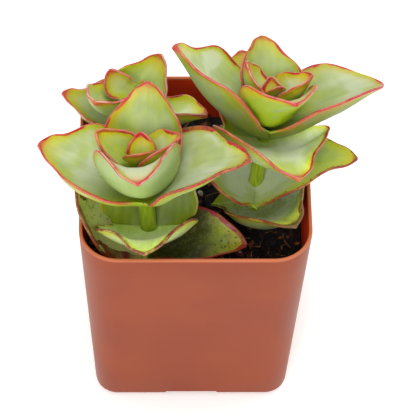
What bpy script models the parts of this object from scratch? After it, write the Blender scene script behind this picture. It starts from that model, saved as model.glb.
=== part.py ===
"""Potted crassula: three leafy stems in a square plastic nursery pot.

Metres, +Z up. The pot stands on z = 0. The frame's origin is under the middle of the
whole plant's box, so the pot stands a little to one side of it, on the empty "pot_place".
Bearings are degrees in the horizontal plane: 0 is +X, 90 is +Y, away from the front.
"""
import math
from dataclasses import dataclass

import bmesh
import bpy
import numpy as np
from mathutils import Vector

MM = 0.001
GAP = 0.3 * MM

# Pot, a two inch square nursery pot
POT_TOP = 50.8 * MM
POT_BASE = 44.2 * MM
POT_HEIGHT = 60.3 * MM
POT_WALL = 0.8 * MM
TOP_CORNER = 8.5 * MM
BASE_CORNER = 8.0 * MM
CORNER_STEPS = 6
BASE_FILLET = 1.2 * MM
FILLET_STEPS = 3
RIM_ROUND = 0.25 * MM
FLOOR_TOP = 2.6 * MM
CHANNEL_HEIGHT = 1.4 * MM
CHANNEL_WIDTH = 13.5 * MM
CHANNEL_ROOF = 11.7 * MM
DRAIN_RADIUS = 3.5 * MM
SIDE_DRAIN_RADIUS = 2.0 * MM
SIDE_DRAIN_OFFSET = 13.0 * MM
DRAIN_SIDES = 16
CUT_PAST = 2.0 * MM           # how far a cutter runs on past the face it opens
POT_PLACE = (-3.45 * MM, 2.02 * MM)

# Potting soil
SOIL_LEVEL = 47.4 * MM
SOIL_RELIEF = 0.5 * MM
SOIL_SHOULDER = 2.0 * MM
SOIL_EDGE_DROP = 0.5 * MM
SOIL_RINGS = 6
STEM_DEPTH = 7.0 * MM

# Leaves
LEAF_STATIONS = 10
SMALL_LEAF_STATIONS = 7
SMALL_LEAF = 11.0 * MM
BLADE_COLUMNS = 7
MIN_BLADE = 0.7 * MM
EDGE_SHARE = 0.36             # thickness near the margin, as a share of that at the midrib
TIP_THINNING = 0.55           # share of the thickness lost over the outer half
MARGIN_ROUND = 0.3
TIP_HALF_WIDTH = 0.3 * MM
TIP_OPENING = 0.45            # how far the channel opens out towards the tip
WAVE_HEIGHT = 0.35 * MM
WAVES = 1.7
WAVED_LEAF = 15.0 * MM

# Shares of a leaf's length over which it leaves its base's form for its own
SLOPE_OVER = 0.16
JOINED_OVER = 0.28
TWIST_OVER = 0.4
TURN_OVER = 0.5

# Stems
STEM_SIDES = 10
STEM_STATIONS = 9

# A leaf's half width along its length, as shares of length and of greatest half width
OUTLINE_AT = (0.0, 0.18, 0.4, 0.6, 0.8, 0.94, 1.0)
OUTLINE_WIDTH = (0.66, 0.90, 1.0, 0.88, 0.52, 0.22, 0.0)
OUTLINE_PEAK = 0.4


@dataclass
class Leaf:
    """One leaf of a pair. Lengths in millimetres, angles in degrees."""
    length: float
    width: float
    rise: float           # mean slope of the midrib above the horizontal
    curl: float = 10      # how much steeper the tip is than the base
    cup: float = 35       # half angle of the channel across the blade
    turn: float = 0       # how far the tip swings round the stem
    twist: float = 0      # roll about the midrib
    widest: float = 0.4   # where the blade is widest, as a share of its length
    pinch: float = 0      # how far the blade draws in before its tip


@dataclass
class Pair:
    """Two opposite leaves grown together round the stem."""
    bearing: float
    height: float         # of the midribs at the stem, above the pot's foot, millimetres
    waist: float          # half width where the leaves join, millimetres
    hollow: float         # half angle of the channel there
    thickness: float      # at the midrib, millimetres
    near: Leaf            # the leaf on the pair's bearing
    far: Leaf             # the leaf opposite
    lean: float = 0       # how far the pair tips back, towards +Y


@dataclass
class Plant:
    name: str
    foot: tuple           # stem axis low down, millimetres from the pot's middle
    crown: tuple          # stem axis at the growing tip
    stem_radius: float
    pairs: tuple          # from the growing tip down


PLANTS = (
    Plant("front", (-9.5, -13.0, 47.0), (-12.0, -11.5, 80.0), 1.75, (
        Pair(88, 78.2, 2.1, 43, 1.3,
             Leaf(6.1, 6.1, 57, 10, 38, turn=3, twist=7, widest=0.37, pinch=0.07),
             Leaf(7.2, 7.1, 69, 9, 38, turn=2, twist=10)),
        Pair(-4, 76.5, 4.5, 42, 1.4,
             Leaf(12.9, 12.4, 54, 5, 58, turn=5, twist=-21, widest=0.34, pinch=0.12),
             Leaf(14.0, 11.5, 47, 57, 71, turn=-10, twist=-1)),
        Pair(84, 71.9, 5.7, 55, 2.0,
             Leaf(21.0, 17.6, 42, 11, 37, turn=1, twist=-10, widest=0.44),
             Leaf(22.1, 21.8, 54, -15, 65, turn=5, twist=7, widest=0.5, pinch=0.09)),
        Pair(-5, 69.1, 6.2, 38, 2.9,
             Leaf(27.4, 20.8, 35, -46, 33, turn=-5, twist=-6, widest=0.43, pinch=0.22),
             Leaf(24.9, 20.6, 25, 15, 48, turn=-10, twist=2, widest=0.48, pinch=0.16)),
        Pair(88, 55.2, 7.8, 17, 1.7,
             Leaf(17.0, 23.5, 48, -36, 50, turn=-7, twist=4, widest=0.42),
             Leaf(21.3, 23.3, 41, 1, 38, twist=5, widest=0.25, pinch=0.22)),
        Pair(-8, 50.1, 6.5, 20, 1.5,
             Leaf(22.2, 14.2, 9, -50, 36, turn=-2, twist=10, widest=0.36),
             Leaf(26.5, 16.8, 53, 72, 24, turn=14, twist=-11.5, widest=0.38)),
    )),
    Plant("right", (13.0, -0.5, 47.0), (16.5, 2.5, 86.0), 1.6, (
        Pair(103, 82.5, 1.4, 40, 0.9,
             Leaf(4.2, 4.0, 69, 12, 38, turn=-7, widest=0.38, pinch=0.04),
             Leaf(6.6, 4.0, 57, 15, 35, turn=5), lean=0.3),
        Pair(-5, 81.2, 3.6, 42, 1.5,
             Leaf(11.0, 11.2, 41, 40, 77, turn=15, twist=-10, widest=0.33, pinch=0.08),
             Leaf(11.8, 10.9, 61, 61, 52, turn=1, twist=7, widest=0.45), lean=0.25),
        Pair(98, 75.8, 5.6, 34, 2.0,
             Leaf(18.6, 16.8, 43, -24, 52, turn=-5, twist=20, pinch=0.05),
             Leaf(23.4, 17.6, 50, -48, 53, turn=7, twist=-5, widest=0.52), lean=0.25),
        Pair(1, 73.1, 6.0, 47, 2.6,
             Leaf(28.0, 21.5, 18, -45, 45, turn=20, twist=-12, widest=0.45),
             Leaf(29.2, 22.5, 47, 11, 54, turn=-4, twist=9, widest=0.46, pinch=0.23), lean=0.25),
        Pair(96, 68.9, 10.0, 37, 2.8,
             Leaf(21.4, 20.2, 26, 18, 34, turn=13, twist=3),
             Leaf(18.7, 28.6, 17, -32, 42, turn=22, twist=-17, widest=0.25, pinch=0.21), lean=0.1),
        Pair(-5, 54.4, 10.0, 30, 2.1,
             Leaf(25.8, 18.3, 35, -74, 14, turn=-2, twist=-2, widest=0.32, pinch=0.14),
             Leaf(19.0, 21.6, 41, 6, 44, turn=6, twist=-11)),
        Pair(114, 50.3, 10.5, 15, 1.9,
             Leaf(13.0, 15.0, 25, 10, 45),
             Leaf(27.5, 21.2, 37, 42, 59, turn=-7, twist=13, widest=0.37, pinch=0.15)),
    )),
    Plant("back", (-13.2, 15.0, 47.0), (-14.5, 12.5, 71.5), 1.4, (
        Pair(139, 69.4, 2.5, 40, 1.5,
             Leaf(7.6, 6.4, 32, 90, 53, turn=-8, twist=-25, widest=0.44),
             Leaf(6.5, 7.0, 55, 10, 50)),
        Pair(47, 65.7, 4.4, 35, 2.0,
             Leaf(13.4, 13.9, 34, 54, 55, turn=5, twist=7, widest=0.30, pinch=0.12),
             Leaf(15.8, 16.1, 52, 26, 66, turn=-5, twist=24, widest=0.43)),
        Pair(-7, 58.8, 4.8, 40, 2.6,
             Leaf(19.8, 10.3, 31, -17, 68, turn=-12, twist=-25, widest=0.53, pinch=0.02),
             Leaf(17.3, 10.3, 29, 7, 53, turn=-3, twist=-12, pinch=0.22)),
        Pair(80, 53.5, 4.5, 30, 2.2,
             Leaf(10, 12, 48),
             Leaf(13, 13, 25)),
    )),
)


def clear_scene():
    for item in list(bpy.data.objects):
        bpy.data.objects.remove(item, do_unlink=True)


def make_material(name, colour, roughness):
    material = bpy.data.materials.new(name)
    material.use_nodes = True
    shader = material.node_tree.nodes["Principled BSDF"]
    shader.inputs["Base Color"].default_value = (*colour, 1.0)
    shader.inputs["Roughness"].default_value = roughness
    shader.inputs["Metallic"].default_value = 0.0
    return material


def make_object(name, mesh, material, parent):
    item = bpy.data.objects.new(name, mesh)
    bpy.context.scene.collection.objects.link(item)
    item.parent = parent
    if material is not None:
        mesh.materials.append(material)
    mesh.shade_smooth()
    mesh.set_sharp_from_angle(angle=math.radians(35))
    return item


def make_cutter(name, mesh, parent):
    """A solid that only cuts: it isn't rendered, and shows as a wire."""
    cutter = make_object(name, mesh, None, parent)
    cutter.hide_render = True
    cutter.display_type = "WIRE"
    return cutter


def cut(item, cutter):
    boolean = item.modifiers.new("Cut " + cutter.name, "BOOLEAN")
    boolean.operation = "DIFFERENCE"
    boolean.solver = "EXACT"
    boolean.object = cutter


def loft(name, rings):
    """A closed solid through rings of equally many points, with a fan over each end."""
    mesh = bpy.data.meshes.new(name)
    work = bmesh.new()
    loops = [[work.verts.new(Vector(point)) for point in ring] for ring in rings]
    count = len(loops[0])
    for low, high in zip(loops, loops[1:]):
        for i in range(count):
            j = (i + 1) % count
            work.faces.new((low[i], low[j], high[j], high[i]))
    for loop, first in ((loops[0], True), (loops[-1], False)):
        middle = work.verts.new(sum((v.co for v in loop), Vector()) / count)
        for i in range(count):
            a, b = loop[i], loop[(i + 1) % count]
            work.faces.new((middle, b, a) if first else (middle, a, b))
    bmesh.ops.recalc_face_normals(work, faces=work.faces)
    work.to_mesh(mesh)
    work.free()
    return mesh


def smooth_step(x):
    x = np.clip(x, 0.0, 1.0)
    return x * x * (3.0 - 2.0 * x)


# Pot

def pot_half_width(z):
    return 0.5 * (POT_BASE + (POT_TOP - POT_BASE) * z / POT_HEIGHT)


def pot_corner(z):
    return BASE_CORNER + (TOP_CORNER - BASE_CORNER) * z / POT_HEIGHT


def square_ring(half, corner, z):
    """A rounded square, anticlockwise from above."""
    ring = []
    for quarter in range(4):
        middle = Vector((half - corner, half - corner, z))
        for step in range(CORNER_STEPS + 1):
            angle = math.radians(90 * step / CORNER_STEPS)
            spot = middle + corner * Vector((math.cos(angle), math.sin(angle), 0))
            turned = spot.copy()
            for _ in range(quarter):
                turned = Vector((-turned.y, turned.x, turned.z))
            ring.append(turned)
    return ring


def wall_ring(z, inset):
    return square_ring(pot_half_width(z) - inset, pot_corner(z) - inset, z)


def pot_body():
    rings = []
    for step in range(FILLET_STEPS + 1):
        angle = math.radians(90 * step / FILLET_STEPS)
        z = BASE_FILLET * (1 - math.cos(angle))
        rings.append(wall_ring(z, BASE_FILLET * (1 - math.sin(angle))))
    rings.append(wall_ring(POT_HEIGHT - RIM_ROUND, 0))
    rings.append(wall_ring(POT_HEIGHT, RIM_ROUND))
    return loft("pot", rings)


def pot_cavity():
    rim = wall_ring(POT_HEIGHT, POT_WALL - RIM_ROUND)
    above = [point + Vector((0, 0, CUT_PAST)) for point in rim]
    rings = [
        wall_ring(FLOOR_TOP, POT_WALL + BASE_FILLET),
        wall_ring(FLOOR_TOP + BASE_FILLET, POT_WALL),
        wall_ring(POT_HEIGHT - RIM_ROUND, POT_WALL),
        rim,
        above,
    ]
    return loft("pot_cavity", rings)


def channel(across):
    """The gap under the pot between its feet, from side to side."""
    reach = POT_BASE
    foot = 0.5 * CHANNEL_WIDTH
    roof = 0.5 * CHANNEL_ROOF
    round_off = 0.4 * MM
    profile = (
        (-foot - round_off, -CUT_PAST), (foot + round_off, -CUT_PAST), (foot + round_off, 0),
        (foot, 0.35 * CHANNEL_HEIGHT), (roof + 0.3 * MM, 0.8 * CHANNEL_HEIGHT),
        (roof - 0.5 * MM, CHANNEL_HEIGHT), (-roof + 0.5 * MM, CHANNEL_HEIGHT),
        (-roof - 0.3 * MM, 0.8 * CHANNEL_HEIGHT), (-foot, 0.35 * CHANNEL_HEIGHT),
        (-foot - round_off, 0),
    )
    rings = []
    for end in (-reach, reach):
        if across:
            rings.append([Vector((end, y, z)) for y, z in profile])
        else:
            rings.append([Vector((-x, end, z)) for x, z in profile])
    return loft("pot_channel", rings)


def drain(x, y, radius):
    rings = []
    for z in (-CUT_PAST, FLOOR_TOP + CUT_PAST):
        turns = [2 * math.pi * i / DRAIN_SIDES for i in range(DRAIN_SIDES)]
        rings.append([Vector((x + radius * math.cos(a), y + radius * math.sin(a), z)) for a in turns])
    return loft("pot_drain", rings)


def make_pot(parent):
    plastic = make_material("terracotta plastic", (0.40, 0.115, 0.062), 0.42)
    pot = make_object("pot", pot_body(), plastic, parent)
    cut(pot, make_cutter("cut_pot_cavity", pot_cavity(), parent))
    cut(pot, make_cutter("cut_pot_channel_x", channel(True), parent))
    cut(pot, make_cutter("cut_pot_channel_y", channel(False), parent))
    cut(pot, make_cutter("cut_pot_drain", drain(0, 0, DRAIN_RADIUS), parent))
    for index, (x, y) in enumerate(((1, 0), (0, 1), (-1, 0), (0, -1))):
        side = drain(x * SIDE_DRAIN_OFFSET, y * SIDE_DRAIN_OFFSET, SIDE_DRAIN_RADIUS)
        cut(pot, make_cutter(f"cut_pot_drain_{index + 1}", side, parent))


# Soil

def soil_height(x, y):
    """Low lumps, in metres, from a few crossed waves."""
    u, v = x / MM, y / MM
    lumps = math.sin(0.55 * u + 0.8) * math.cos(0.48 * v - 0.4)
    lumps += 0.6 * math.sin(0.9 * u - 0.7 * v + 1.9)
    return SOIL_LEVEL + SOIL_RELIEF * lumps / 1.6


def soil_mesh():
    low = FLOOR_TOP + GAP
    rings = [
        wall_ring(low, POT_WALL + BASE_FILLET + 2 * GAP),
        wall_ring(low + BASE_FILLET, POT_WALL + GAP),
        wall_ring(SOIL_LEVEL - SOIL_SHOULDER, POT_WALL + GAP),
    ]
    edge = wall_ring(SOIL_LEVEL - SOIL_EDGE_DROP, POT_WALL + GAP)
    for ring in range(SOIL_RINGS):
        share = 1 - ring / SOIL_RINGS
        spots = [Vector((p.x * share, p.y * share, 0)) for p in edge]
        for spot in spots:
            spot.z = soil_height(spot.x, spot.y) - (SOIL_EDGE_DROP if ring == 0 else 0)
        rings.append(spots)
    return loft("soil", rings)


def make_soil(parent):
    earth = make_material("potting soil", (0.020, 0.013, 0.009), 0.95)
    soil = make_object("soil", soil_mesh(), earth, parent)
    for plant in PLANTS:
        hole = stem_mesh(plant, GAP, SOIL_LEVEL - STEM_DEPTH - GAP, SOIL_LEVEL + STEM_DEPTH)
        cut(soil, make_cutter(f"cut_soil_{plant.name}", hole, parent))


# Stems

def stem_point(plant, z):
    """The stem's axis at a height, in metres."""
    foot = Vector(plant.foot) * MM
    crown = Vector(plant.crown) * MM
    return foot.lerp(crown, (z - foot.z) / (crown.z - foot.z))


def stem_mesh(plant, grow, low, high):
    rings = []
    radius = plant.stem_radius * MM + grow
    for station in range(STEM_STATIONS):
        middle = stem_point(plant, low + (high - low) * station / (STEM_STATIONS - 1))
        turns = [2 * math.pi * i / STEM_SIDES for i in range(STEM_SIDES)]
        rings.append([middle + radius * Vector((math.cos(a), math.sin(a), 0)) for a in turns])
    return loft("stem_" + plant.name, rings)


def stem_top(plant):
    """The stem ends just under the youngest pair."""
    youngest = plant.pairs[0]
    return (youngest.height - youngest.thickness) * MM - GAP


# Leaf pairs

def outline(share, leaf):
    """Half width at a share of the length, as a smooth curve through the outline."""
    below = share * OUTLINE_PEAK / leaf.widest
    above = OUTLINE_PEAK + (share - leaf.widest) * (1 - OUTLINE_PEAK) / (1 - leaf.widest)
    at = np.where(share < leaf.widest, below, above)
    knots = np.array(OUTLINE_AT)
    values = np.array(OUTLINE_WIDTH)
    slopes = np.gradient(values, knots)
    slopes[2] = 0.0
    cell = np.clip(np.searchsorted(knots, at, side="right") - 1, 0, len(knots) - 2)
    span = knots[cell + 1] - knots[cell]
    u = (at - knots[cell]) / span
    width = (2 * u**3 - 3 * u**2 + 1) * values[cell] + (u**3 - 2 * u**2 + u) * span * slopes[cell]
    width += (3 * u**2 - 2 * u**3) * values[cell + 1] + (u**3 - u**2) * span * slopes[cell + 1]
    return width * (1 - leaf.pinch * np.exp(-((at - 0.8) / 0.12) ** 2))


def margin_wave(leaf, share, across):
    """A long leaf's margins rise and fall a little, each side in its own rhythm."""
    if leaf.length * MM < WAVED_LEAF:
        return 0.0
    start = leaf.length + leaf.width + 0.9 * np.sign(across)
    swell = np.sin(2 * math.pi * WAVES * share[:, None] + start[None, :])
    fade = smooth_step((share - 0.2) / 0.2) * (1 - smooth_step((share - 0.75) / 0.25))
    return WAVE_HEIGHT * swell * fade[:, None] * np.abs(across[None, :])**3


def leaf_surface(pair, leaf, share, across):
    """The blade's upper face and its normals, along +X from the stem's axis, in metres."""
    fine = np.linspace(0, 1, 161)
    slope = np.radians(smooth_step(fine / SLOPE_OVER) * (leaf.rise + leaf.curl * (fine - 0.5)))
    swing = np.radians(smooth_step(fine / TURN_OVER) * leaf.turn)
    roll = np.radians(smooth_step(fine / TWIST_OVER) * leaf.twist)
    flat = 0 * fine
    ahead = np.stack([np.cos(slope) * np.cos(swing), np.cos(slope) * np.sin(swing), np.sin(slope)], -1)
    step = leaf.length * MM / (len(fine) - 1)
    midrib = np.concatenate([[[0, 0, 0]], np.cumsum(0.5 * (ahead[1:] + ahead[:-1]) * step, 0)])
    upright = np.stack([-np.sin(slope) * np.cos(swing), -np.sin(slope) * np.sin(swing), np.cos(slope)], -1)
    sideways = np.stack([-np.sin(swing), np.cos(swing), flat], -1)
    side = sideways * np.cos(roll)[:, None] + upright * np.sin(roll)[:, None]
    up = upright * np.cos(roll)[:, None] - sideways * np.sin(roll)[:, None]

    def at_share(table):
        return np.stack([np.interp(share, fine, table[:, k]) for k in range(3)], -1)

    midrib, side, up = at_share(midrib), at_share(side), at_share(up)
    away = smooth_step(share / JOINED_OVER)
    half = 0.5 * leaf.width * outline(share, leaf)
    half = (pair.waist * (1 - away) + half * away) * MM
    half = np.maximum(half, TIP_HALF_WIDTH)
    cup = np.radians(pair.hollow * (1 - away) + leaf.cup * away)
    cup = cup * (1 - TIP_OPENING * smooth_step((share - 0.6) / 0.4))
    bend = cup[:, None] * across[None, :]
    out = half[:, None] * np.sin(bend) / cup[:, None]
    lift = half[:, None] * (1 - np.cos(bend)) / cup[:, None]
    lift = lift + margin_wave(leaf, share, across)
    face = midrib[:, None] + side[:, None] * out[..., None] + up[:, None] * lift[..., None]
    normal = up[:, None] * np.cos(bend)[..., None] - side[:, None] * np.sin(bend)[..., None]
    return face, normal


def blade_thickness(pair, share, across):
    """Thickest along the midrib near the stem, thinner to the margins and the tip."""
    along = 1 - TIP_THINNING * smooth_step((share - 0.5) / 0.5)
    profile = EDGE_SHARE + (1 - EDGE_SHARE) * (1 - across**2)
    return np.maximum(pair.thickness * MM * along[:, None] * profile[None, :], MIN_BLADE)


def margin_point(top, under, inner):
    """One point that rounds the margin between the two faces."""
    middle = 0.5 * (top + under)
    outward = middle - inner
    outward = outward / np.linalg.norm(outward)
    return middle + outward * MARGIN_ROUND * np.linalg.norm(top - under)


def pair_rings(pair):
    """Rings round the pair from the far leaf's tip to the near leaf's, in its own axes."""
    across = np.linspace(-1, 1, BLADE_COLUMNS)
    across = 0.65 * across + 0.35 * np.sin(0.5 * math.pi * across)
    small = max(pair.near.length, pair.far.length) * MM < SMALL_LEAF
    share = np.linspace(0, 1, SMALL_LEAF_STATIONS if small else LEAF_STATIONS)
    rings = []
    for leaf, side in ((pair.far, -1), (pair.near, 1)):
        face, normal = leaf_surface(pair, leaf, share, across)
        under = face - normal * blade_thickness(pair, share, across)[..., None]
        if side < 0:
            half_turn = np.array([-1, -1, 1])
            face = (face * half_turn)[::-1, ::-1]
            under = (under * half_turn)[::-1, ::-1]
        for top_row, under_row in zip(face[side > 0:], under[side > 0:]):
            first = margin_point(top_row[0], under_row[0], 0.5 * (top_row[1] + under_row[1]))
            last = margin_point(top_row[-1], under_row[-1], 0.5 * (top_row[-2] + under_row[-2]))
            rings.append(np.concatenate([top_row, [last], under_row[::-1], [first]]))
    return rings


def pair_axes(plant, pair):
    """The pair's place and axes: up lies between the stem and the vertical."""
    place = stem_point(plant, pair.height * MM)
    along = (Vector(plant.crown) - Vector(plant.foot)).normalized()
    up = (along + Vector((0, 2 * pair.lean, 1))).normalized()
    bearing = math.radians(pair.bearing)
    ahead = Vector((math.cos(bearing), math.sin(bearing), 0))
    ahead = (ahead - up * ahead.dot(up)).normalized()
    return place, ahead, up.cross(ahead), up


def pair_mesh(plant, pair, name):
    """The two faces are split into triangles along the same diagonals."""
    place, ahead, left, up = pair_axes(plant, pair)
    rings = pair_rings(pair)
    work = bmesh.new()
    loops = []
    for ring in rings:
        spots = [place + ahead * p[0] + left * p[1] + up * p[2] for p in ring.tolist()]
        loops.append([work.verts.new(spot) for spot in spots])
    count = len(loops[0])
    for low, high in zip(loops, loops[1:]):
        for i in range(count):
            j = (i + 1) % count
            if i < BLADE_COLUMNS:
                work.faces.new((low[i], low[j], high[j]))
                work.faces.new((low[i], high[j], high[i]))
            else:
                work.faces.new((low[i], low[j], high[i]))
                work.faces.new((low[j], high[j], high[i]))
    for loop, first in ((loops[0], True), (loops[-1], False)):
        middle = work.verts.new(sum((v.co for v in loop), Vector()) / count)
        for i in range(count):
            a, b = loop[i], loop[(i + 1) % count]
            work.faces.new((middle, b, a) if first else (middle, a, b))
    bmesh.ops.recalc_face_normals(work, faces=work.faces)
    mesh = bpy.data.meshes.new(name)
    work.to_mesh(mesh)
    work.free()
    return mesh


def make_plant(plant, parent, stem_skin, leaf_skin):
    top = stem_top(plant)
    stem = stem_mesh(plant, 0, SOIL_LEVEL - STEM_DEPTH, top)
    make_object("stem_" + plant.name, stem, stem_skin, parent)
    bore = stem_mesh(plant, GAP, SOIL_LEVEL - STEM_DEPTH, top + 0.5 * GAP)
    bore = make_cutter("cut_stem_" + plant.name, bore, parent)
    for index, pair in enumerate(plant.pairs):
        name = f"leaf_pair_{plant.name}_{index + 1}"
        leaves = make_object(name, pair_mesh(plant, pair, name), leaf_skin, parent)
        if index > 0:
            cut(leaves, bore)


def main():
    clear_scene()
    place = bpy.data.objects.new("pot_place", None)
    bpy.context.scene.collection.objects.link(place)
    place.location = (*POT_PLACE, 0)
    stem_skin = make_material("stem green", (0.23, 0.36, 0.02), 0.45)
    leaf_skin = make_material("leaf green", (0.30, 0.40, 0.17), 0.50)
    make_pot(place)
    make_soil(place)
    for plant in PLANTS:
        make_plant(plant, place, stem_skin, leaf_skin)


main()
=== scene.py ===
import math

import bmesh
import bpy
import numpy as np
from mathutils import Matrix, Vector, noise


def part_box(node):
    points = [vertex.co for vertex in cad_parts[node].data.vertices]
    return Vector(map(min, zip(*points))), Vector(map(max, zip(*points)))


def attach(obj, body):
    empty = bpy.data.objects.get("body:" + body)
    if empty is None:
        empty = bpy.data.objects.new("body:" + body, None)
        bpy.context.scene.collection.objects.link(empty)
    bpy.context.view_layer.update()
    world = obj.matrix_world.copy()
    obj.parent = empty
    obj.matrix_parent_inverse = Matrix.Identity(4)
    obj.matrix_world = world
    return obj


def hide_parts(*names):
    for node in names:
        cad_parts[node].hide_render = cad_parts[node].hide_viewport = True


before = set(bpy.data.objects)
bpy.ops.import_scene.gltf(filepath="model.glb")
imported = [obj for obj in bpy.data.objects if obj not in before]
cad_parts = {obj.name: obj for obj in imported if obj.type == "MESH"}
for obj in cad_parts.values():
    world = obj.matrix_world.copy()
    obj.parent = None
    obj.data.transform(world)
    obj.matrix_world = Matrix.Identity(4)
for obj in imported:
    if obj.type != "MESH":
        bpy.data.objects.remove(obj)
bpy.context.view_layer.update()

mm = 0.001
scene = bpy.context.scene
potLow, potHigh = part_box("pot")
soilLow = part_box("soil")[0]
potMiddle = Vector(((potLow.x + potHigh.x) / 2, (potLow.y + potHigh.y) / 2, 0))


# Camera, lights and floor

cameraPlace = {
    "aim": Vector((3.294, 0, 44.407)) * mm,     # from the pot's middle
    "distance": 600 * mm,
    "azimuth": -2.823,
    "elevation": 54.367,
    "roll": 2.314,
    "lens": 230.6,
}

studio = {
    "skyColour": (1.0, 0.99, 0.975),
    "skyStrength": 0.86,
    "lights": [
        # name, place from the pot's middle, aim height, size, watts, colour
        ("lightOverhead", (0.05, 0.12, 0.66), 0.06, 0.50, 1.7, (1.0, 0.985, 0.96)),
        ("lightFront", (-0.16, -0.64, 0.54), 0.05, 0.42, 3.2, (1.0, 0.99, 0.975)),
    ],
    "floorColour": (0.93, 0.93, 0.925),
    "floorSide": 4.0,
    "floorGlow": 0.22,
}


def makeCamera():
    azimuth, elevation, roll = (math.radians(cameraPlace[k]) for k in ("azimuth", "elevation", "roll"))
    back = Vector((math.sin(azimuth) * math.cos(elevation),
                   -math.cos(azimuth) * math.cos(elevation), math.sin(elevation)))
    level = Vector((0, 0, 1)).cross(back).normalized()
    upright = back.cross(level)
    right = level * math.cos(roll) + upright * math.sin(roll)
    up = back.cross(right)
    camera = bpy.data.objects.new("camera", bpy.data.cameras.new("camera"))
    camera.data.lens = cameraPlace["lens"]
    camera.data.sensor_width = 36
    place = potMiddle + cameraPlace["aim"] + back * cameraPlace["distance"]
    camera.matrix_world = Matrix.Translation(place) @ Matrix((right, up, back)).transposed().to_4x4()
    scene.collection.objects.link(camera)
    scene.camera = camera


def makeLights():
    world = bpy.data.worlds.new("studioSky")
    world.use_nodes = True
    sky = world.node_tree.nodes["Background"]
    sky.inputs["Color"].default_value = (*studio["skyColour"], 1)
    sky.inputs["Strength"].default_value = studio["skyStrength"]
    scene.world = world
    for name, place, aimHeight, size, watts, colour in studio["lights"]:
        data = bpy.data.lights.new(name, "AREA")
        data.shape = "DISK"
        data.size = size
        data.energy = watts
        data.color = colour
        light = bpy.data.objects.new(name, data)
        light.location = potMiddle + Vector(place)
        aim = potMiddle + Vector((0, 0, aimHeight)) - light.location
        light.rotation_mode = "QUATERNION"
        light.rotation_quaternion = aim.to_track_quat("-Z", "Y")
        scene.collection.objects.link(light)


def makeFloor():
    side = studio["floorSide"] / 2
    mesh = bpy.data.meshes.new("studioFloor")
    corners = [(-side, -side, 0), (side, -side, 0), (side, side, 0), (-side, side, 0)]
    mesh.from_pydata(corners, [], [(0, 1, 2, 3)])
    floor = bpy.data.objects.new("studioFloor", mesh)
    material, _, shader = newMaterial("studioFloor")
    shader.inputs["Base Color"].default_value = (*studio["floorColour"], 1)
    # a faint glow keeps the shade round the pot as light as a photographer's white sweep
    shader.inputs["Emission Color"].default_value = (1, 1, 1, 1)
    shader.inputs["Emission Strength"].default_value = studio["floorGlow"]
    shader.inputs["Roughness"].default_value = 0.8
    shader.inputs["Specular IOR Level"].default_value = 0.1
    mesh.materials.append(material)
    scene.collection.objects.link(floor)


# Node helpers

def newMaterial(name):
    material = bpy.data.materials.new(name)
    material.use_nodes = True
    tree = material.node_tree
    return material, tree, tree.nodes["Principled BSDF"]


def feed(tree, socket, value):
    if isinstance(value, bpy.types.NodeSocket):
        tree.links.new(value, socket)
    elif isinstance(value, (tuple, list, Vector)) and len(value) == 3 and socket.type == "RGBA":
        socket.default_value = (*value, 1)
    else:
        socket.default_value = value


def addNode(tree, kind, inputs=None, **settings):
    node = tree.nodes.new(kind)
    for key, value in settings.items():
        setattr(node, key, value)
    for key, value in (inputs or {}).items():
        feed(tree, node.inputs[key], value)
    return node


def calc(tree, operation, *values, clamp=False):
    node = addNode(tree, "ShaderNodeMath", operation=operation, use_clamp=clamp)
    for index, value in enumerate(values):
        feed(tree, node.inputs[index], value)
    return node.outputs[0]


def ramp(tree, value, low, high, start=0.0, end=1.0):
    # A soft step: start below low, end above high
    node = addNode(tree, "ShaderNodeMapRange", {"Value": value, "From Min": low, "From Max": high,
                                                "To Min": start, "To Max": end})
    node.interpolation_type = "SMOOTHSTEP"
    return node.outputs["Result"]


def blendColour(tree, factor, first, second):
    # Sockets 6, 7 and 2 are the ones that carry colour
    node = addNode(tree, "ShaderNodeMix", data_type="RGBA", clamp_factor=True)
    feed(tree, node.inputs["Factor"], factor)
    feed(tree, node.inputs[6], first)
    feed(tree, node.inputs[7], second)
    return node.outputs[2]


def noiseOf(tree, vector, scale, detail=2.0, roughness=0.5, distortion=0.0):
    node = addNode(tree, "ShaderNodeTexNoise", {"Vector": vector, "Scale": scale, "Detail": detail,
                                                "Roughness": roughness, "Distortion": distortion})
    return node.outputs["Fac"]


def inMillimetres(tree):
    place = addNode(tree, "ShaderNodeTexCoord").outputs["Object"]
    return addNode(tree, "ShaderNodeVectorMath", {0: place, "Scale": 1 / mm}, operation="SCALE").outputs[0]


def attributeOf(tree, name):
    return addNode(tree, "ShaderNodeAttribute", attribute_name=name)


def addBump(tree, shader, height, depth, strength):
    bump = addNode(tree, "ShaderNodeBump", {"Height": height, "Distance": depth, "Strength": strength})
    feed(tree, shader.inputs["Normal"], bump.outputs[0])


def setSkin(shader, finish):
    # How the surface shines, and how far light goes into it
    shader.inputs["Specular IOR Level"].default_value = finish["specular"]
    shader.inputs["Subsurface Weight"].default_value = finish["scatter"]
    shader.inputs["Subsurface Radius"].default_value = finish["scatterReach"]
    shader.inputs["Subsurface Scale"].default_value = finish["scatterScale"]


def shaderGroup(name, inputs, outputs):
    tree = bpy.data.node_groups.new(name, "ShaderNodeTree")
    for label, kind, value in inputs:
        socket = tree.interface.new_socket(label, in_out="INPUT", socket_type=kind)
        if value is not None:
            socket.default_value = value
    for label, kind in outputs:
        tree.interface.new_socket(label, in_out="OUTPUT", socket_type=kind)
    return tree, tree.nodes.new("NodeGroupInput").outputs, tree.nodes.new("NodeGroupOutput").inputs


def useGroup(tree, group, inputs):
    node = tree.nodes.new("ShaderNodeGroup")
    node.node_tree = group
    for key, value in inputs.items():
        feed(tree, node.inputs[key], value)
    return node.outputs


# Effects that more than one material uses

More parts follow.
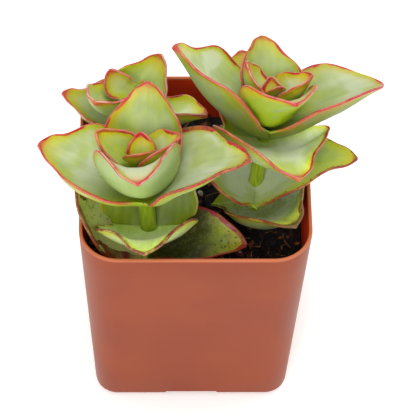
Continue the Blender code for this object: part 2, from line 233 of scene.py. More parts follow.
def makeGrainGroup():
    # A fine uneven surface: its height for a bump, and a slow drift in tone
    tree, given, result = shaderGroup(
        "fineGrain",
        [("Place", "NodeSocketVector", None), ("Grain Size", "NodeSocketFloat", 0.5),
         ("Drift Size", "NodeSocketFloat", 12.0)],
        [("Height", "NodeSocketFloat"), ("Drift", "NodeSocketFloat")])
    fineScale = calc(tree, "DIVIDE", 1.0, given["Grain Size"])
    slowScale = calc(tree, "DIVIDE", 1.0, given["Drift Size"])
    feed(tree, result["Height"], noiseOf(tree, given["Place"], fineScale, 3.0, 0.55))
    feed(tree, result["Drift"], noiseOf(tree, given["Place"], slowScale, 2.0, 0.5))
    return tree


def makeSpeckGroup():
    # Scattered small marks: 1 inside a mark and 0 elsewhere. Amount runs from none at 0 to many at 1.
    tree, given, result = shaderGroup(
        "scatteredMarks",
        [("Place", "NodeSocketVector", None), ("Spacing", "NodeSocketFloat", 1.0),
         ("Amount", "NodeSocketFloat", 0.5)],
        [("Mask", "NodeSocketFloat")])
    scale = calc(tree, "DIVIDE", 1.0, given["Spacing"])
    cells = addNode(tree, "ShaderNodeTexVoronoi", {"Vector": given["Place"], "Scale": scale,
                                                   "Randomness": 1.0})
    chance = addNode(tree, "ShaderNodeSeparateColor", {0: cells.outputs["Color"]}).outputs[0]
    size = calc(tree, "MULTIPLY", calc(tree, "SUBTRACT", given["Amount"], chance, clamp=True), 0.62)
    edge = calc(tree, "ADD", size, 0.06)
    uneven = noiseOf(tree, given["Place"], calc(tree, "MULTIPLY", scale, 3.0))
    wobble = calc(tree, "MULTIPLY_ADD", uneven, 0.24, -0.12)
    reach = calc(tree, "ADD", cells.outputs["Distance"], wobble)
    inside = ramp(tree, calc(tree, "SUBTRACT", edge, reach), 0.0, 0.10)
    shown = calc(tree, "GREATER_THAN", given["Amount"], chance)
    feed(tree, result["Mask"], calc(tree, "MULTIPLY", inside, shown))
    return tree


def makeBandGroup():
    # 1 from Low to High with soft sides of the given softness
    tree, given, result = shaderGroup(
        "softBand",
        [("Value", "NodeSocketFloat", 0.0), ("Low", "NodeSocketFloat", 0.0), ("High", "NodeSocketFloat", 1.0),
         ("Soft", "NodeSocketFloat", 0.1)],
        [("Mask", "NodeSocketFloat")])
    rise = calc(tree, "DIVIDE", calc(tree, "SUBTRACT", given["Value"], given["Low"]), given["Soft"])
    fall = calc(tree, "DIVIDE", calc(tree, "SUBTRACT", given["High"], given["Value"]), given["Soft"])
    inside = calc(tree, "MULTIPLY", ramp(tree, rise, -0.5, 0.5), ramp(tree, fall, -0.5, 0.5))
    feed(tree, result["Mask"], inside)
    return tree


grainGroup = makeGrainGroup()
speckGroup = makeSpeckGroup()
bandGroup = makeBandGroup()


def marksOf(tree, place, spacing, amount):
    return useGroup(tree, speckGroup, {"Place": place, "Spacing": spacing, "Amount": amount})["Mask"]


def softBand(tree, value, low, high, soft):
    return useGroup(tree, bandGroup, {"Value": value, "Low": low, "High": high, "Soft": soft})["Mask"]


# Materials

potFinish = {
    "colour": (0.216, 0.0335, 0.0065),
    "paler": (0.250, 0.0435, 0.0095),
    # painted light: a brighter, redder copy of the plastic for the inner wall, standing for how the light
    # falls inside the pot
    "inside": (0.66, 0.045, 0.012),
    # painted light: the rim's paler colour stands for its highlight and the light shining through the thin
    # plastic
    "lip": (0.50, 0.150, 0.062),
    "driftSize": 22.0,         # mm, of the slow change in tone
    "peelSize": 0.9,           # mm, of the moulded plastic's orange peel
    "peelDepth": 0.012 * mm,
    "litLipHeight": 0.9,          # mm, of the top band painted paler for its highlight and the light through the thin rim
    "specular": 0.20,
    "scatter": 0.12,
    "scatterReach": (1.0, 0.30, 0.15),
    "scatterScale": 0.7 * mm,
}


def makePotMaterial():
    material, tree, shader = newMaterial("potPlastic")
    place = inMillimetres(tree)
    grain = useGroup(tree, grainGroup, {"Place": place, "Grain Size": potFinish["peelSize"],
                                        "Drift Size": potFinish["driftSize"]})
    drift = ramp(tree, grain["Drift"], 0.3, 0.7)
    colour = blendColour(tree, drift, potFinish["colour"], potFinish["paler"])
    # painted light: faces looking into the pot take the brighter, redder inside colour
    inside = attributeOf(tree, "innerWall").outputs["Fac"]
    colour = blendColour(tree, inside, colour, potFinish["inside"])
    # painted light: the top of the rim is blended towards the paler lip colour
    height = addNode(tree, "ShaderNodeSeparateXYZ", {0: place}).outputs[2]
    top = potHigh.z / mm
    lip = ramp(tree, height, top - potFinish["litLipHeight"], top - 0.15, 0.0, 0.85)
    colour = blendColour(tree, lip, colour, potFinish["lip"])
    feed(tree, shader.inputs["Base Color"], colour)
    feed(tree, shader.inputs["Roughness"], ramp(tree, grain["Drift"], 0.2, 0.8, 0.36, 0.46))
    setSkin(shader, potFinish)
    addBump(tree, shader, grain["Height"], potFinish["peelDepth"], 0.6)
    return material


soilFinish = {
    # dark tone, light tone, roughness, grain size in mm
    "peat": ((0.0018, 0.0015, 0.0015), (0.014, 0.008, 0.006), 0.95, 0.4),
    "bark": ((0.050, 0.014, 0.005), (0.26, 0.085, 0.022), 0.85, 0.5),
    "darkBark": ((0.005, 0.003, 0.0025), (0.050, 0.017, 0.007), 0.9, 0.5),
    "fibre": ((0.14, 0.06, 0.02), (0.42, 0.24, 0.09), 0.7, 0.4),
    "perlite": ((0.42, 0.40, 0.33), (0.75, 0.73, 0.66), 0.9, 0.35),
}


def makeSoilMaterial(name):
    dark, light, roughness, grainSize = soilFinish[name]
    material, tree, shader = newMaterial(name)
    place = inMillimetres(tree)
    grain = useGroup(tree, grainGroup, {"Place": place, "Grain Size": grainSize, "Drift Size": 2.4})
    tone = ramp(tree, calc(tree, "MULTIPLY", grain["Drift"], grain["Height"]), 0.18, 0.42)
    feed(tree, shader.inputs["Base Color"], blendColour(tree, tone, dark, light))
    feed(tree, shader.inputs["Roughness"], ramp(tree, grain["Height"], 0.2, 0.8, roughness - 0.15, roughness))
    addBump(tree, shader, grain["Height"], 0.15 * mm, 0.9)
    return material


stemFinish = {
    "colour": (0.19, 0.275, 0.003),
    "paler": (0.29, 0.37, 0.015),
    "scar": (0.12, 0.09, 0.03),
    "specular": 0.5,
    "scatter": 0.25,
    "scatterReach": (0.9, 1.0, 0.2),
    "scatterScale": 1.2 * mm,
}


def makeStemMaterial():
    material, tree, shader = newMaterial("stemSkin")
    place = inMillimetres(tree)
    stretched = addNode(tree, "ShaderNodeVectorMath", {0: place, 1: (1.6, 1.6, 0.18)}, operation="MULTIPLY")
    streak = ramp(tree, noiseOf(tree, stretched.outputs[0], 1.0, 3.0), 0.35, 0.65)
    grain = useGroup(tree, grainGroup, {"Place": place, "Grain Size": 0.35, "Drift Size": 5.0})
    scars = marksOf(tree, place, 0.9, 0.12)
    colour = blendColour(tree, streak, stemFinish["colour"], stemFinish["paler"])
    colour = blendColour(tree, calc(tree, "MULTIPLY", scars, 0.7), colour, stemFinish["scar"])
    feed(tree, shader.inputs["Base Color"], colour)
    feed(tree, shader.inputs["Roughness"], ramp(tree, grain["Drift"], 0.2, 0.8, 0.36, 0.5))
    setSkin(shader, stemFinish)
    addBump(tree, shader, grain["Height"], 0.02 * mm, 0.7)
    return material


leafFinish = {
    "sage": (0.24, 0.325, 0.055),
    "lime": (0.32, 0.41, 0.006),
    "bloom": (0.445, 0.50, 0.33),
    "undersideSage": (0.235, 0.325, 0.10),
    "undersideLime": (0.28, 0.385, 0.004),
    "glow": (0.52, 0.40, 0.006),
    "hotGlow": (0.54, 0.14, 0.014),
    "red": (0.44, 0.006, 0.026),
    "oldRed": (0.20, 0.008, 0.008),
    # painted highlight on the margin's ridge, duller on old leaves
    "rim": (0.58, 0.34, 0.30),
    "oldEdgeHighlightColour": (0.30, 0.16, 0.10),
    "brown": (0.13, 0.070, 0.018),
    "beige": (0.70, 0.64, 0.24),
    "pit": (0.030, 0.040, 0.003),
    # painted shade: the olive that low leaves are darkened towards
    "shadeOlive": (0.020, 0.031, 0.001),
    "reliefDepth": 0.07 * mm,
    "specular": 0.36,
    "scatter": 0.22,
    "scatterReach": (0.9, 1.0, 0.25),
    "scatterScale": 1.0 * mm,
}

# What one leaf's skin shows. Each look is stored at the leaf's points, three to an attribute.
freshLooks = {
    "bloom": 0.5,          # pale wax over the face
    "bloomAt": 0.55,       # where along the leaf the wax is thickest
    "lime": 0.6,           # lime green towards the base and the margins
    "red": 1.0,            # strength of the red margin
    "band": 0.62,          # its width, mm
    "glow": 0.32,          # orange beside the red
    "age": 0.0,            # brown blotches and an old margin
    "specks": 0.04,        # dark pits
    "scars": 0.1,          # brown cork along the margin
    "dark": 0.0,           # olive darkening of a low leaf: painted shade from the leaves above, with some of its own darker green
    "warmTip": 0.5,        # yellow round the tip
    "glowSide": 0.0,       # more glow at one side than at the other
    "pale": 0.35,          # painted highlight: the pale line along the margin's ridge
    "limeBelow": 0.7,      # lime green on the underside
    "brownTip": 0.0,       # dry tip
    "mottle": 0.0,         # beige blotches
    "worn": 0.3,           # faint places in the red
    "stripes": 0.2,        # streaks along the blade
    "lift": 0.0,           # painted light: a lighter upper face
    "deep": 0.0,           # painted shade: a darker underside near the base; below zero it is painted light instead
    "ripe": 0.0,           # an old margin without the blotches
}


def leafReadings(tree):
    # What the skin reads at each point: where on the leaf it is, the leaf's looks, and some noise
    place = inMillimetres(tree)
    spot = attributeOf(tree, "leafPlace").outputs["Vector"]           # mm across and along
    margin = attributeOf(tree, "marginDistance").outputs["Fac"]       # mm, below zero on the underside
    along = attributeOf(tree, "alongLeaf").outputs["Fac"]             # 0 at the stem, 1 at the tip
    depth = calc(tree, "ABSOLUTE", margin)
    look = {}
    names = list(freshLooks)
    for index in range(0, len(names), 3):
        three = attributeOf(tree, f"looks{index // 3}").outputs["Vector"]
        parts = addNode(tree, "ShaderNodeSeparateXYZ", {0: three})
        look.update(zip(names[index:index + 3], parts.outputs))
    streaks = addNode(tree, "ShaderNodeVectorMath", {0: spot, 1: (0.9, 0.10, 1.0)}, operation="MULTIPLY")
    return {
        "look": look,
        "place": place,
        "margin": margin,
        "depth": depth,
        "along": along,
        "tip": attributeOf(tree, "tipDistance").outputs["Fac"],       # mm
        "side": addNode(tree, "ShaderNodeSeparateXYZ", {0: spot}).outputs[0],
        "streak": noiseOf(tree, streaks.outputs[0], 1.0, 3.0, 0.55),
        "mottle": noiseOf(tree, place, 0.20, 3.0, 0.55),
        "cloud": noiseOf(tree, place, 0.15, 1.6, 0.5, 0.2),
        "fine": noiseOf(tree, place, 1.6, 3.0, 0.6),
        "patches": noiseOf(tree, place, 0.95, 5.0, 0.72),
        "wobble": calc(tree, "MULTIPLY_ADD", noiseOf(tree, place, 0.9, 2.0, 0.5), 0.7, -0.35),
        "onTop": ramp(tree, margin, -0.12, 0.12),
        "nearMargin": ramp(tree, depth, 0.6, 5.5, 1.0, 0.0),
        "nearBase": ramp(tree, along, 0.05, 0.42, 1.0, 0.0),
        "pastJoin": ramp(tree, along, 0.04, 0.22),
    }


def leafBloom(tree, at):
    # The pale wax: thickest at one place along the leaf, thin at the margins, faintly streaked
    away = calc(tree, "ABSOLUTE", calc(tree, "SUBTRACT", at["along"], at["look"]["bloomAt"]))
    share = calc(tree, "MULTIPLY", ramp(tree, away, 0.05, 0.45, 1.0, 0.10),
                 ramp(tree, at["cloud"], 0.36, 0.60, 0.35, 1.1))
    fromMargin = calc(tree, "MULTIPLY_ADD", at["wobble"], 1.5, at["depth"])
    share = calc(tree, "MULTIPLY", share, ramp(tree, fromMargin, 0.7, 2.4))
    share = calc(tree, "MULTIPLY_ADD", ramp(tree, at["streak"], 0.3, 0.7), 0.08, share)
    return calc(tree, "MULTIPLY", share, at["look"]["bloom"], clamp=True)


def leafGreen(tree, at, bloom):
    # Upper face: sage, lime towards the base and margins, with the bloom over it
    lime = calc(tree, "MULTIPLY_ADD", ramp(tree, at["mottle"], 0.38, 0.64), 1.0,
                calc(tree, "MULTIPLY", at["nearMargin"], 0.7))
    lime = calc(tree, "MULTIPLY_ADD", at["nearBase"], 0.35, lime)
    lime = calc(tree, "MULTIPLY", lime, at["look"]["lime"], clamp=True)
    upper = blendColour(tree, lime, leafFinish["sage"], leafFinish["lime"])
    upper = blendColour(tree, bloom, upper, leafFinish["bloom"])
    # Underside: paler sage, lime towards the base
    lime = calc(tree, "MULTIPLY_ADD", at["nearBase"], 0.6,
                calc(tree, "MULTIPLY", ramp(tree, at["mottle"], 0.35, 0.6), 0.8))
    lime = calc(tree, "MULTIPLY_ADD", at["nearMargin"], 0.5, lime)
    lime = calc(tree, "MULTIPLY", lime, at["look"]["limeBelow"], clamp=True)
    lower = blendColour(tree, lime, leafFinish["undersideSage"], leafFinish["undersideLime"])
    lower = blendColour(tree, calc(tree, "MULTIPLY", bloom, 0.3), lower, leafFinish["bloom"])
    return blendColour(tree, at["onTop"], lower, upper)


def leafGlow(tree, at, colour):
    # Warm glow beside the red margin, stronger on the underside, and round the tip
    look = at["look"]
    lean = calc(tree, "MULTIPLY_ADD", look["glowSide"], ramp(tree, at["side"], -1.0, 1.0, -1.0, 1.0), 1.0)
    fromMargin = calc(tree, "MULTIPLY_ADD", at["wobble"], 1.2, at["depth"])
    share = calc(tree, "MULTIPLY", ramp(tree, fromMargin, 0.5, 3.4, 1.0, 0.0), look["glow"])
    share = calc(tree, "MULTIPLY", share, lean)
    share = calc(tree, "MULTIPLY", share, ramp(tree, at["onTop"], 0.0, 1.0, 1.15, 0.85))
    share = calc(tree, "MULTIPLY", share, at["pastJoin"], clamp=True)
    colour = blendColour(tree, share, colour, leafFinish["glow"])
    fromTip = calc(tree, "MULTIPLY_ADD", at["wobble"], 2.0, at["tip"])
    warm = calc(tree, "MULTIPLY", ramp(tree, fromTip, 1.5, 6.5, 0.85, 0.0), look["warmTip"])
    return blendColour(tree, calc(tree, "MULTIPLY", warm, at["onTop"]), colour, leafFinish["glow"])


def leafShade(tree, at, colour):
    # Streaks along the blade, painted light on the upper face, painted shade on the underside, and olive
    # painted shade, with some darker green of their own, on the low leaves
    look = at["look"]
    tone = calc(tree, "MULTIPLY_ADD", calc(tree, "SUBTRACT", at["streak"], 0.5), look["stripes"], 1.0)
    # painted light: the upper face is made lighter
    tone = calc(tree, "MULTIPLY", tone, calc(tree, "MULTIPLY_ADD", look["lift"], at["onTop"], 1.0))
    # painted shade on the underside, strongest near the base; painted light where the value is below zero
    deep = calc(tree, "MULTIPLY", look["deep"], calc(tree, "SUBTRACT", 1.0, at["onTop"]))
    deep = calc(tree, "MULTIPLY", deep, ramp(tree, at["along"], 0.25, 0.7, 1.0, 0.4))
    tone = calc(tree, "MULTIPLY", tone, calc(tree, "SUBTRACT", 1.0, deep))
    toned = addNode(tree, "ShaderNodeVectorMath", {0: colour, "Scale": tone}, operation="SCALE")
    # painted shade: low leaves are darkened towards olive
    shadeOlive = calc(tree, "MULTIPLY", look["dark"], ramp(tree, at["along"], 0.45, 0.8, 1.0, 0.3))
    shadeOlive = calc(tree, "MULTIPLY", shadeOlive, ramp(tree, at["mottle"], 0.3, 0.65, 1.0, 0.8))
    return blendColour(tree, shadeOlive, toned.outputs[0], leafFinish["shadeOlive"])


def leafBlotches(tree, at, pits, colour):
    # Brown and beige blotches, and dark pits
    look = at["look"]
    brown = calc(tree, "MULTIPLY", ramp(tree, at["patches"], 0.50, 0.34), look["age"])
    colour = blendColour(tree, calc(tree, "MULTIPLY", brown, 0.85), colour, leafFinish["brown"])
    beige = calc(tree, "MULTIPLY", ramp(tree, at["patches"], 0.44, 0.62), look["mottle"])
    colour = blendColour(tree, beige, colour, leafFinish["beige"])
    return blendColour(tree, calc(tree, "MULTIPLY", pits, 0.8), colour, leafFinish["pit"])


def leafMargin(tree, at, reach, ripe, colour):
    # The red margin, uneven in width, orange where it fades, wider at the tip
    look, tip = at["look"], at["tip"]
    swell = ramp(tree, noiseOf(tree, at["place"], 0.20, 1.0), 0.38, 0.62, 0.35, 1.5)
    width = calc(tree, "MULTIPLY_ADD", ramp(tree, tip, 0.5, 3.0, 1.0, 0.0), 0.35,
                 calc(tree, "MULTIPLY", look["band"], swell))
    redBand = softBand(tree, reach, -0.30, width, 0.20)
    hotBand = softBand(tree, reach, -0.85, calc(tree, "ADD", width, 0.2), 0.7)
    tipSpot = ramp(tree, calc(tree, "MULTIPLY_ADD", at["wobble"], 0.8, tip), 0.3, 1.7, 0.9, 0.0)
    red = calc(tree, "MAXIMUM", redBand, tipSpot)
    red = calc(tree, "MULTIPLY", red, ramp(tree, at["fine"], 0.25, 0.6, 0.78, 1.0))
    faint = ramp(tree, noiseOf(tree, at["place"], 0.28, 2.0), 0.34, 0.56, 1.0, 0.0)
    faint = calc(tree, "MULTIPLY", faint, look["worn"])
    red = calc(tree, "MULTIPLY", red, calc(tree, "SUBTRACT", 1.0, faint))
    red = calc(tree, "MULTIPLY", red, at["pastJoin"])
    red = calc(tree, "MULTIPLY", red, look["red"], clamp=True)
    hot = calc(tree, "MAXIMUM", hotBand, ramp(tree, tip, 0.8, 3.0, 0.9, 0.0))
    hot = calc(tree, "MULTIPLY", hot, at["pastJoin"])
    hot = calc(tree, "MULTIPLY", hot, calc(tree, "MULTIPLY", look["red"], 0.4), clamp=True)
    hot = calc(tree, "MULTIPLY", hot, calc(tree, "SUBTRACT", 1.0, ripe, clamp=True))
    colour = blendColour(tree, hot, colour, leafFinish["hotGlow"])
    redColour = blendColour(tree, ripe, leafFinish["red"], leafFinish["oldRed"])
    return blendColour(tree, red, colour, redColour)


def leafEdge(tree, at, cork, ripe, colour):
    # The thin pale line along the very edge, which is a painted highlight on the margin's ridge, brown cork
    # in places, and a dry tip
    look = at["look"]
    # painted highlight: a thin pale line over the margin's rounded edge
    line = softBand(tree, at["margin"], -0.20, 0.04, 0.12)
    patchy = ramp(tree, noiseOf(tree, at["place"], 0.4, 2.0), 0.38, 0.58, 0.35, 1.35)
    line = calc(tree, "MULTIPLY", line, patchy)
    line = calc(tree, "MULTIPLY", line, look["pale"], clamp=True)
    line = calc(tree, "MULTIPLY", line, ramp(tree, at["along"], 0.0, 0.2, 0.3, 1.0))
    rimColour = blendColour(tree, ripe, leafFinish["rim"], leafFinish["oldEdgeHighlightColour"])
    colour = blendColour(tree, line, colour, rimColour)
    colour = blendColour(tree, calc(tree, "MULTIPLY", cork, 0.85), colour, leafFinish["brown"])
    fromTip = calc(tree, "MULTIPLY_ADD", at["wobble"], 3.0, at["tip"])
    dry = calc(tree, "MULTIPLY", ramp(tree, fromTip, 1.0, 4.0, 1.0, 0.0), look["brownTip"], clamp=True)
    return blendColour(tree, dry, colour, leafFinish["brown"])


def makeLeafMaterial():
    material, tree, shader = newMaterial("leafSkin")
    at = leafReadings(tree)
    look = at["look"]
    reach = calc(tree, "MULTIPLY_ADD", at["wobble"], 0.5, at["margin"])
    ripe = calc(tree, "MAXIMUM", look["age"], look["ripe"])
    bloom = leafBloom(tree, at)
    pits = marksOf(tree, at["place"], 0.75, look["specks"])
    cork = calc(tree, "MULTIPLY", marksOf(tree, at["place"], 0.6, look["scars"]),
                softBand(tree, reach, -0.4, 1.1, 0.5))
    colour = leafGreen(tree, at, bloom)
    colour = leafGlow(tree, at, colour)
    colour = leafShade(tree, at, colour)
    colour = leafBlotches(tree, at, pits, colour)
    colour = leafMargin(tree, at, reach, ripe, colour)
    colour = leafEdge(tree, at, cork, ripe, colour)
    feed(tree, shader.inputs["Base Color"], colour)
    waxy = ramp(tree, bloom, 0.0, 0.8, 0.38, 0.62)
    feed(tree, shader.inputs["Roughness"], calc(tree, "MULTIPLY_ADD", cork, 0.25, waxy, clamp=True))
    setSkin(shader, leafFinish)
    height = calc(tree, "MULTIPLY_ADD", at["fine"], 0.35, calc(tree, "MULTIPLY", at["streak"], 0.5))
    height = calc(tree, "SUBTRACT", height, calc(tree, "MULTIPLY", pits, 0.5))
    height = calc(tree, "MULTIPLY_ADD", cork, 0.5, height)
    addBump(tree, shader, height, leafFinish["reliefDepth"], 0.7)
    return material


# Shared shape maths

def smoothStep(x):
    x = np.clip(x, 0.0, 1.0)
    return x * x * (3.0 - 2.0 * x)


def linkPiece(name, mesh, material, slot, *nodes):
    piece = bpy.data.objects.new(name, mesh)
    scene.collection.objects.link(piece)
    mesh.materials.clear()
    mesh.materials.append(material)
    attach(piece, "root")
    if nodes:
        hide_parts(*nodes)
    return piece


def plainMesh(host):
    # The object's evaluated shape as a mesh of its own
    bpy.context.view_layer.update()
    evaluated = host.evaluated_get(bpy.context.evaluated_depsgraph_get())
    return bpy.data.meshes.new_from_object(evaluated)


def squareRing(half, corner, z, cornerSteps, sideSteps):
    # A rounded square round the pot's middle, anticlockwise from above
    ring = []
    for quarter in range(4):
        turn = Matrix.Rotation(math.pi / 2 * quarter, 3, "Z")
        middle = Vector((half - corner, half - corner, 0))
        for step in range(cornerSteps + 1):
            angle = math.pi / 2 * step / cornerSteps
            ring.append(turn @ (middle + corner * Vector((math.cos(angle), math.sin(angle), 0))))
        first = turn @ Vector((half - corner, half, 0))
        last = turn @ Vector((corner - half, half, 0))
        ring += [first.lerp(last, step / sideSteps) for step in range(1, sideSteps)]
    return [potMiddle + spot + Vector((0, 0, z)) for spot in ring]


def loftMesh(name, rings):
    # A closed skin through the rings, fanned over at each end
    points = [tuple(p) for ring in rings for p in ring]
    count = len(rings[0])
    faces = []
    for level in range(len(rings) - 1):
        low = level * count
        for i in range(count):
            j = (i + 1) % count
            faces.append((low + i, low + j, low + count + j, low + count + i))
    for ring, first in ((rings[0], True), (rings[-1], False)):
        middle = len(points)
        points.append(tuple(sum(ring, Vector()) / count))
        start = 0 if first else (len(rings) - 1) * count
        for i in range(count):
            a, b = start + i, start + (i + 1) % count
            faces.append((middle, b, a) if first else (middle, a, b))
    mesh = bpy.data.meshes.new(name)
    mesh.from_pydata(points, [], faces)
    mesh.validate()
    return mesh


# Pot

potShape = {
    "base": 44.2 * mm,
    "wall": 0.8 * mm,
    "topCorner": 8.5 * mm,
    "baseCorner": 5.0 * mm,
    "baseFillet": 2.0 * mm,
    "floorTop": 2.6 * mm,
    "channelHeight": 2.0 * mm,
    "channelWidth": 13.5 * mm,
    "channelRoof": 11.7 * mm,
    # each hole's place from the middle and its radius, in mm
    "drains": [(0, 0, 3.5)] + [(13 * math.cos(a), 13 * math.sin(a), 2.0)
                               for a in (0, math.pi / 2, math.pi, -math.pi / 2)],
    "cutPast": 2 * mm,         # how far the cutters stand past what they cut
    "cornerSteps": 14,
    "sideSteps": 8,
    "wallSteps": 8,
    "filletSteps": 5,
    "innerFilletSteps": 4,
    "lipSteps": 10,
    "channelSteps": 8,
    "drainSides": 32,
    "sharpAngle": 32,
}


def potHalf(z):
    # Half the pot's outer width at a height
    return 0.5 * (potShape["base"] + (potHigh.x - potLow.x - potShape["base"]) * (z / potHigh.z))


def potRing(z, inset, steps=potShape):
    # The pot's rounded square at a height, a given distance inside its outer face
    share = z / potHigh.z
    corner = potShape["baseCorner"] + (potShape["topCorner"] - potShape["baseCorner"]) * share - inset
    return squareRing(potHalf(z) - inset, corner, z, steps["cornerSteps"], steps["sideSteps"])


def roundOver(centreInset, centreZ, radius, start, end, steps):
    # Rings along an arc of the wall's section, angles in degrees from straight outwards
    rings = []
    for step in range(steps + 1):
        angle = math.radians(start + (end - start) * step / steps)
        rings.append(potRing(centreZ + radius * math.sin(angle), centreInset - radius * math.cos(angle)))
    return rings


def potSkin():
    fillet = potShape["baseFillet"]
    lip = potShape["wall"] / 2
    rings = roundOver(fillet, fillet, fillet, -90, 0, potShape["filletSteps"])
    for level in range(1, potShape["wallSteps"]):
        rings.append(potRing(fillet + (potHigh.z - lip - fillet) * level / potShape["wallSteps"], 0))
    rings += roundOver(lip, potHigh.z - lip, lip, 0, 180, potShape["lipSteps"])
    rings.append(potRing(potHigh.z / 2, potShape["wall"]))
    for step in range(potShape["innerFilletSteps"] + 1):
        angle = math.radians(90 * step / potShape["innerFilletSteps"])
        inset = potShape["wall"] + fillet * (1 - math.cos(angle))
        rings.append(potRing(potShape["floorTop"] + fillet * (1 - math.sin(angle)), inset))
    return loftMesh("pot_shell", rings)


def channelCutter(across):
    # The gap between the feet, a little wider at the floor than at its roof
    foot, roof, height = potShape["channelWidth"] / 2, potShape["channelRoof"] / 2, potShape["channelHeight"]
    past, steps = potShape["cutPast"], potShape["channelSteps"]
    side = []
    for step in range(steps + 1):
        share = step / steps
        side.append((foot + (roof - foot) * float(smoothStep(share)), height * share))
    profile = [(-foot, -past), (foot, -past)] + side + [(-y, z) for y, z in reversed(side)]
    rings = []
    for end in (-potShape["base"], potShape["base"]):
        turned = [Vector((end, y, z)) if across else Vector((-y, end, z)) for y, z in profile]
        rings.append([potMiddle + point for point in turned])
    return loftMesh("channelCutter", rings)


def drainCutter(x, y, radius):
    sides, past = potShape["drainSides"], potShape["cutPast"]
    turns = [2 * math.pi * i / sides for i in range(sides)]
    rings = []
    for z in (-past, potShape["floorTop"] + past):
        rings.append([potMiddle + Vector((x * mm + radius * mm * math.cos(a),
                                          y * mm + radius * mm * math.sin(a), z)) for a in turns])
    return loftMesh("drainCutter", rings)


def markInnerWall(mesh):
    # 1 on the faces that look towards the pot's middle
    count = len(mesh.vertices)
    spots, normals = np.empty(3 * count), np.empty(3 * count)
    mesh.vertices.foreach_get("co", spots)
    mesh.vertices.foreach_get("normal", normals)
    away = spots.reshape(-1, 3) - np.array(potMiddle)
    away[:, 2] = 0
    away = away / np.maximum(np.linalg.norm(away, axis=1, keepdims=True), mm)
    inward = -(away * normals.reshape(-1, 3)).sum(1)
    layer = mesh.attributes.new("innerWall", "FLOAT", "POINT")
    layer.data.foreach_set("value", smoothStep((inward - 0.1) / 0.5).astype(np.float32))


def makePot(material):
    body = bpy.data.objects.new("potBody", potSkin())
    scene.collection.objects.link(body)
    cutters = []
    for mesh in [channelCutter(True), channelCutter(False)] + [drainCutter(*d) for d in potShape["drains"]]:
        cutter = bpy.data.objects.new("potCutter", mesh)
        scene.collection.objects.link(cutter)
        cutters.append(cutter)
        cut = body.modifiers.new("cut", "BOOLEAN")
        cut.operation = "DIFFERENCE"
        cut.solver = "EXACT"
        cut.object = cutter
    mesh = plainMesh(body)
    mesh.name = "pot_shell"
    for item in [body] + cutters:
        bpy.data.objects.remove(item, do_unlink=True)
    mesh.shade_smooth()
    mesh.set_sharp_from_angle(angle=math.radians(potShape["sharpAngle"]))
    markInnerWall(mesh)
    linkPiece("pot_shell", mesh, material, "pot_plastic", "pot")
    print("pot made,", len(mesh.polygons), "faces")


# Soil

soilShape = {
    "level": 47.4 * mm,
    "relief": 0.5 * mm,        # of the slow rise and fall
    "rings": 54,
    "cornerSteps": 10,
    "sideSteps": 20,
    "lumpSize": 3.0 * mm,
    "lumpHeight": 0.55 * mm,
    "crumbSize": 0.9 * mm,
    "crumbHeight": 0.22 * mm,
    "edgeDrop": 0.5 * mm,
    "clearance": 0.1 * mm,     # from the pot's inner face
    "leastUpward": 0.25,       # bits lie only where the ground faces up by at least this much
    "cornerShare": 0.54,       # and no further out at the corners than this share of both sides together
    "seed": 4,
}


def soilHeight(spot):
    u, v = (spot.x - potMiddle.x) / mm, (spot.y - potMiddle.y) / mm
    lumps = math.sin(0.55 * u + 0.8) * math.cos(0.48 * v - 0.4) + 0.6 * math.sin(0.9 * u - 0.7 * v + 1.9)
    height = soilShape["level"] + soilShape["relief"] * lumps / 1.6
    offset = Vector((0, 0, soilShape["seed"]))
    height += soilShape["lumpHeight"] * noise.noise(spot / soilShape["lumpSize"] + offset)
    height += soilShape["crumbHeight"] * noise.noise(spot / soilShape["crumbSize"] + offset)
    return height


def soilMesh():
    wall = potShape["wall"] + soilShape["clearance"]
    low, fillet = soilLow.z, potShape["baseFillet"]
    rings = [potRing(low, wall + fillet, soilShape), potRing(low + fillet, wall, soilShape)]
    edge = potRing(soilShape["level"] - soilShape["edgeDrop"], wall, soilShape)
    for ring in range(soilShape["rings"]):
        share = 1 - ring / soilShape["rings"]
        spots = []
        for point in edge:
            spot = potMiddle.lerp(point, share)
            spot.z = 0
            drop = soilShape["edgeDrop"] * float(smoothStep((share - 0.9) / 0.1))
            spots.append(Vector((spot.x, spot.y, soilHeight(spot) - drop)))
        rings.append(spots)
    return loftMesh("soil_bed", rings)


# One tree scatters every kind of bit over the soil

def geometryTree(name, inputs):
    tree = bpy.data.node_groups.new(name, "GeometryNodeTree")
    tree.interface.new_socket("Geometry", in_out="INPUT", socket_type="NodeSocketGeometry")
    for label, kind, value in inputs:
        socket = tree.interface.new_socket(label, in_out="INPUT", socket_type=kind)
        if value is not None:
            socket.default_value = value
    tree.interface.new_socket("Geometry", in_out="OUTPUT", socket_type="NodeSocketGeometry")
    return tree, tree.nodes.new("NodeGroupInput").outputs, tree.nodes.new("NodeGroupOutput").inputs


def growMesh(host, tree, values):
    # Runs the tree on the host and returns its result as a plain mesh
    modifier = host.modifiers.new(tree.name, "NODES")
    modifier.node_group = tree
    for item in tree.interface.items_tree:
        if item.in_out == "INPUT" and item.name in values:
            modifier[item.identifier] = values[item.name]
    mesh = plainMesh(host)
    host.modifiers.remove(modifier)
    return mesh


